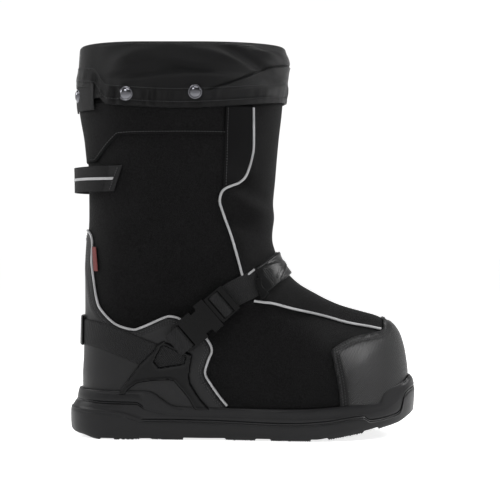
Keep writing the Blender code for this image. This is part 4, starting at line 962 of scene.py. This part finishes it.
# Snaps: pressed gunmetal caps with a rolled rim, riveted through the hem band.
SNAP = Finish("gunmetal", (0.11, 0.11, 0.12), 0.22, Metallic=1.0)
SNAP.shade(SNAP.noise(120.0), 0.7, 1.3)
SNAP.rough(SNAP.noise(300.0), 0.15)
SNAP_PROFILE = [
    (0.0, 0.0033), (0.0022, 0.0031), (0.0042, 0.0024), (0.0053, 0.0014), (0.0056, 0.001), (0.006, 0.0011),
    (0.0067, 0.0009), (0.007, 0.0003), (0.0069, -0.0006)]
snap_places = [("back", 13.0, -0.0085, 0.0038)]
for side, word in SIDES:
    for spot, along in (("rear", -0.3258), ("front", -0.1335)):
        at = turn_at(np.array([along * SOLE_LENGTH]), np.array([0.34]), side)[0]
        snap_places.append((f"{spot}_{word}", float(at), 0.0113 if spot == "rear" else 0.015, 0.0036))
for word, turn, rise, lift in snap_places:
    z = float(hem_height(turn)) + rise
    low, high = over_skin([turn, turn], [z, z], [0.0, 0.001], 0.0)
    out = Vector(high - low).normalized()
    turned = out.to_track_quat('Z', 'Y').to_matrix().to_4x4()
    turned.translation = Vector(low) + out * (lift - 0.0006)
    cap = bmesh.new()
    profile = smooth_route(SNAP_PROFILE, 3)
    points = [cap.verts.new((r, 0.0, h)) for r, h in profile]
    edges = [cap.edges.new(pair) for pair in zip(points, points[1:])]
    bmesh.ops.spin(cap, geom=points + edges, cent=(0, 0, 0), axis=(0, 0, 1), angle=2 * math.pi,
                   steps=40, use_merge=True)
    bmesh.ops.remove_doubles(cap, verts=cap.verts, dist=1e-6)
    bmesh.ops.holes_fill(cap, edges=[e for e in cap.edges if e.is_boundary])
    bmesh.ops.recalc_face_normals(cap, faces=cap.faces)
    bmesh.ops.transform(cap, matrix=turned, verts=cap.verts)
    piece(f"snap_{word}", cap, SNAP, angle=60.0)


# Pull loop: webbing sewn to both sides of the shaft, standing off behind it as a grip, with a
# light stripe woven along its middle.
def loop_place(lift, low, high, reach=1.0):
    def place(u, v):
        z = low + (high - low) * v
        ends = np.array([-0.125, -0.1165])
        end_x = np.interp(z, [0.241, 0.266], ends)
        far = turn_at(end_x, z) * reach
        turn = (2 * u - 1) * far
        bow = np.maximum(1.0 - (np.abs(turn) / (0.8 * far / reach)) ** 2.4, 0.0)
        return over_skin(turn, z, 0.0022 + 0.0122 * bow + lift, 0.6 * (1 - bow))
    return place


for name, lift, low, high, reach, finish, rows, thick in (
        ("pull_loop", 0.0, 0.241, 0.266, 1.0, WEBBING, 16, 0.0014),
        ("pull_loop_stripe", 0.0005, 0.2522, 0.2548, 0.93, PIPING, 3, 0.0008)):
    strap = bmesh.new()
    sheet_of(strap, 160, rows, loop_place(lift, low, high, reach),
             lambda u, v: (u * 0.22, v * 0.025))
    thicken(piece(name, strap, finish, weld=0), thick)


# Thread: dark polyester lockstitch, laid as short stitches along each seam.
THREAD = Finish("thread", (0.022, 0.022, 0.023), 0.6, slot="webbing")
THREAD.bump(THREAD.noise(2500.0, 1.0), 0.0001)


def stitches(name, points, pitch=0.0027, length=0.0019, thick=0.0004):
    points = np.asarray(points, float)
    run = np.concatenate(([0.0], np.cumsum(np.linalg.norm(np.diff(points, axis=0), axis=1))))
    data = bmesh.new()
    for at in np.arange(0.5 * pitch, run[-1], pitch):
        spot, after = (Vector([np.interp(at + d, run, points[:, k]) for k in range(3)]) for d in (0, 1e-4))
        turned = (after - spot).to_track_quat('Z', 'Y').to_matrix().to_4x4()
        turned.translation = spot
        grown = turned @ Matrix.Diagonal((thick, thick, 0.5 * length, 1.0))
        bmesh.ops.create_icosphere(data, subdivisions=1, radius=1.0, matrix=grown)
    piece(name, data, THREAD, weld=0, angle=80.0)


ARC_STEPS = np.linspace(0.0, 360.0, 720)
for row, rise in (("hem", 0.0058), ("band", 0.0183)):
    z = hem_height(ARC_STEPS) + rise
    lift = 0.0028 + cuff_relief(ARC_STEPS, skin(ARC_STEPS, z), z)
    stitches(f"{row}_thread", over_skin(ARC_STEPS, z, lift, 0.0))
for side, word in SIDES:
    cap_seam = toe_edge[(toe_edge[:, 1] > 0.033) & (toe_edge[:, 0] < 0.396 * SOLE_LENGTH)]
    for row, inset in (("edge", 0.003), ("second", 0.0054)):
        stitches(f"cap_{row}_thread_{word}", on_side(offset_route(cap_seam, inset), side, 0.0021))
    for row, inset in (("edge", -0.0042), ("second", -0.0062)):
        stitches(f"counter_{row}_thread_{word}", on_side(offset_route(down[3:], inset), side, 0.0019))
    lap = yoke_edge[yoke_edge[:, 0] > -0.155]
    stitches(f"yoke_thread_{word}", on_side(offset_route(lap, 0.0026), side, 0.0018))
stitches("label_thread", on_side(np.linspace((-0.0147, 0.322), (-0.0168, 0.246), 30), -1, 0.0018))
pad_seam = offset_route(np.linspace(pad_edge[0], pad_edge[1], 30), -0.0014)
stitches("pad_thread", on_side(pad_seam, -1, 0.0045))
stitches("loop_thread", on_side(smooth_route([(-0.129, 0.2425), (-0.1205, 0.2648)], 10), -1, 0.0026), 0.0024)

# Strap of the cuff: narrow webbing that runs from under the hem band's rear end to the tab.
for side, word in SIDES:
    under = bmesh.new()
    sheet_of(under, 40, 10,
             lambda u, v: over_skin(-side * (12.0 + 30.0 * u), 0.3315 + 0.0125 * v, 0.0024, 0.0),
             lambda u, v: (u * 0.03, v * 0.0125))
    if side > 0:
        bmesh.ops.reverse_faces(under, faces=under.faces)
    thicken(piece(f"cuff_strap_{word}", under, WEBBING, weld=0), 0.0009)


# Stage: a white studio floor under a light tent that is bright at the horizon and dimmer above,
# with soft lamps over the toe, over the cuff and at the camera's left.
floor = bmesh.new()
bmesh.ops.create_grid(floor, x_segments=1, y_segments=1, size=40.0)
floor_mesh = bpy.data.meshes.new("floor")
floor.to_mesh(floor_mesh)
floor_piece = linked("floor", floor_mesh)
floor_mesh.materials.append(Finish(
    "studio_white", (0.8, 0.8, 0.8), 0.8, Emission_Color=(1, 1, 1, 1), Emission_Strength=0.8).material)
world = bpy.data.worlds.new("studio")
world.use_nodes = True
tent = world.node_tree
upward = tent.nodes.new("ShaderNodeSeparateXYZ")
tent.links.new(tent.nodes.new("ShaderNodeTexCoord").outputs["Generated"], upward.inputs[0])
dome = tent.nodes.new("ShaderNodeMapRange")
for socket, value in (("From Min", 0.16), ("From Max", 0.4), ("To Min", 1.03), ("To Max", 0.16)):
    dome.inputs[socket].default_value = value
tent.links.new(upward.outputs[2], dome.inputs["Value"])
tent.links.new(dome.outputs[0], tent.nodes["Background"].inputs["Strength"])
tent.nodes["Background"].inputs["Color"].default_value = (1.0, 1.0, 1.0, 1.0)
bpy.context.scene.world = world
for name, place, size, power in (("key", (-0.7, -1.2, 1.5), 0.5, 11.0), ("toe", (1.0, 0.3, 0.9), 0.45, 14.0),
                                 ("heel", (-1.1, 0.2, 0.8), 0.5, 8.0),
                                 ("top", (0.15, 0.0, 1.5), 0.8, 18.0)):
    lamp = linked(name, bpy.data.lights.new(name, 'AREA'))
    lamp.data.size, lamp.data.energy = size, power
    lamp.location = place
    lamp.rotation_euler = (Vector((0.0, 0.0, 0.18)) - Vector(place)).to_track_quat('-Z', 'Y').to_euler()
bpy.context.scene.view_settings.view_transform = 'Standard'
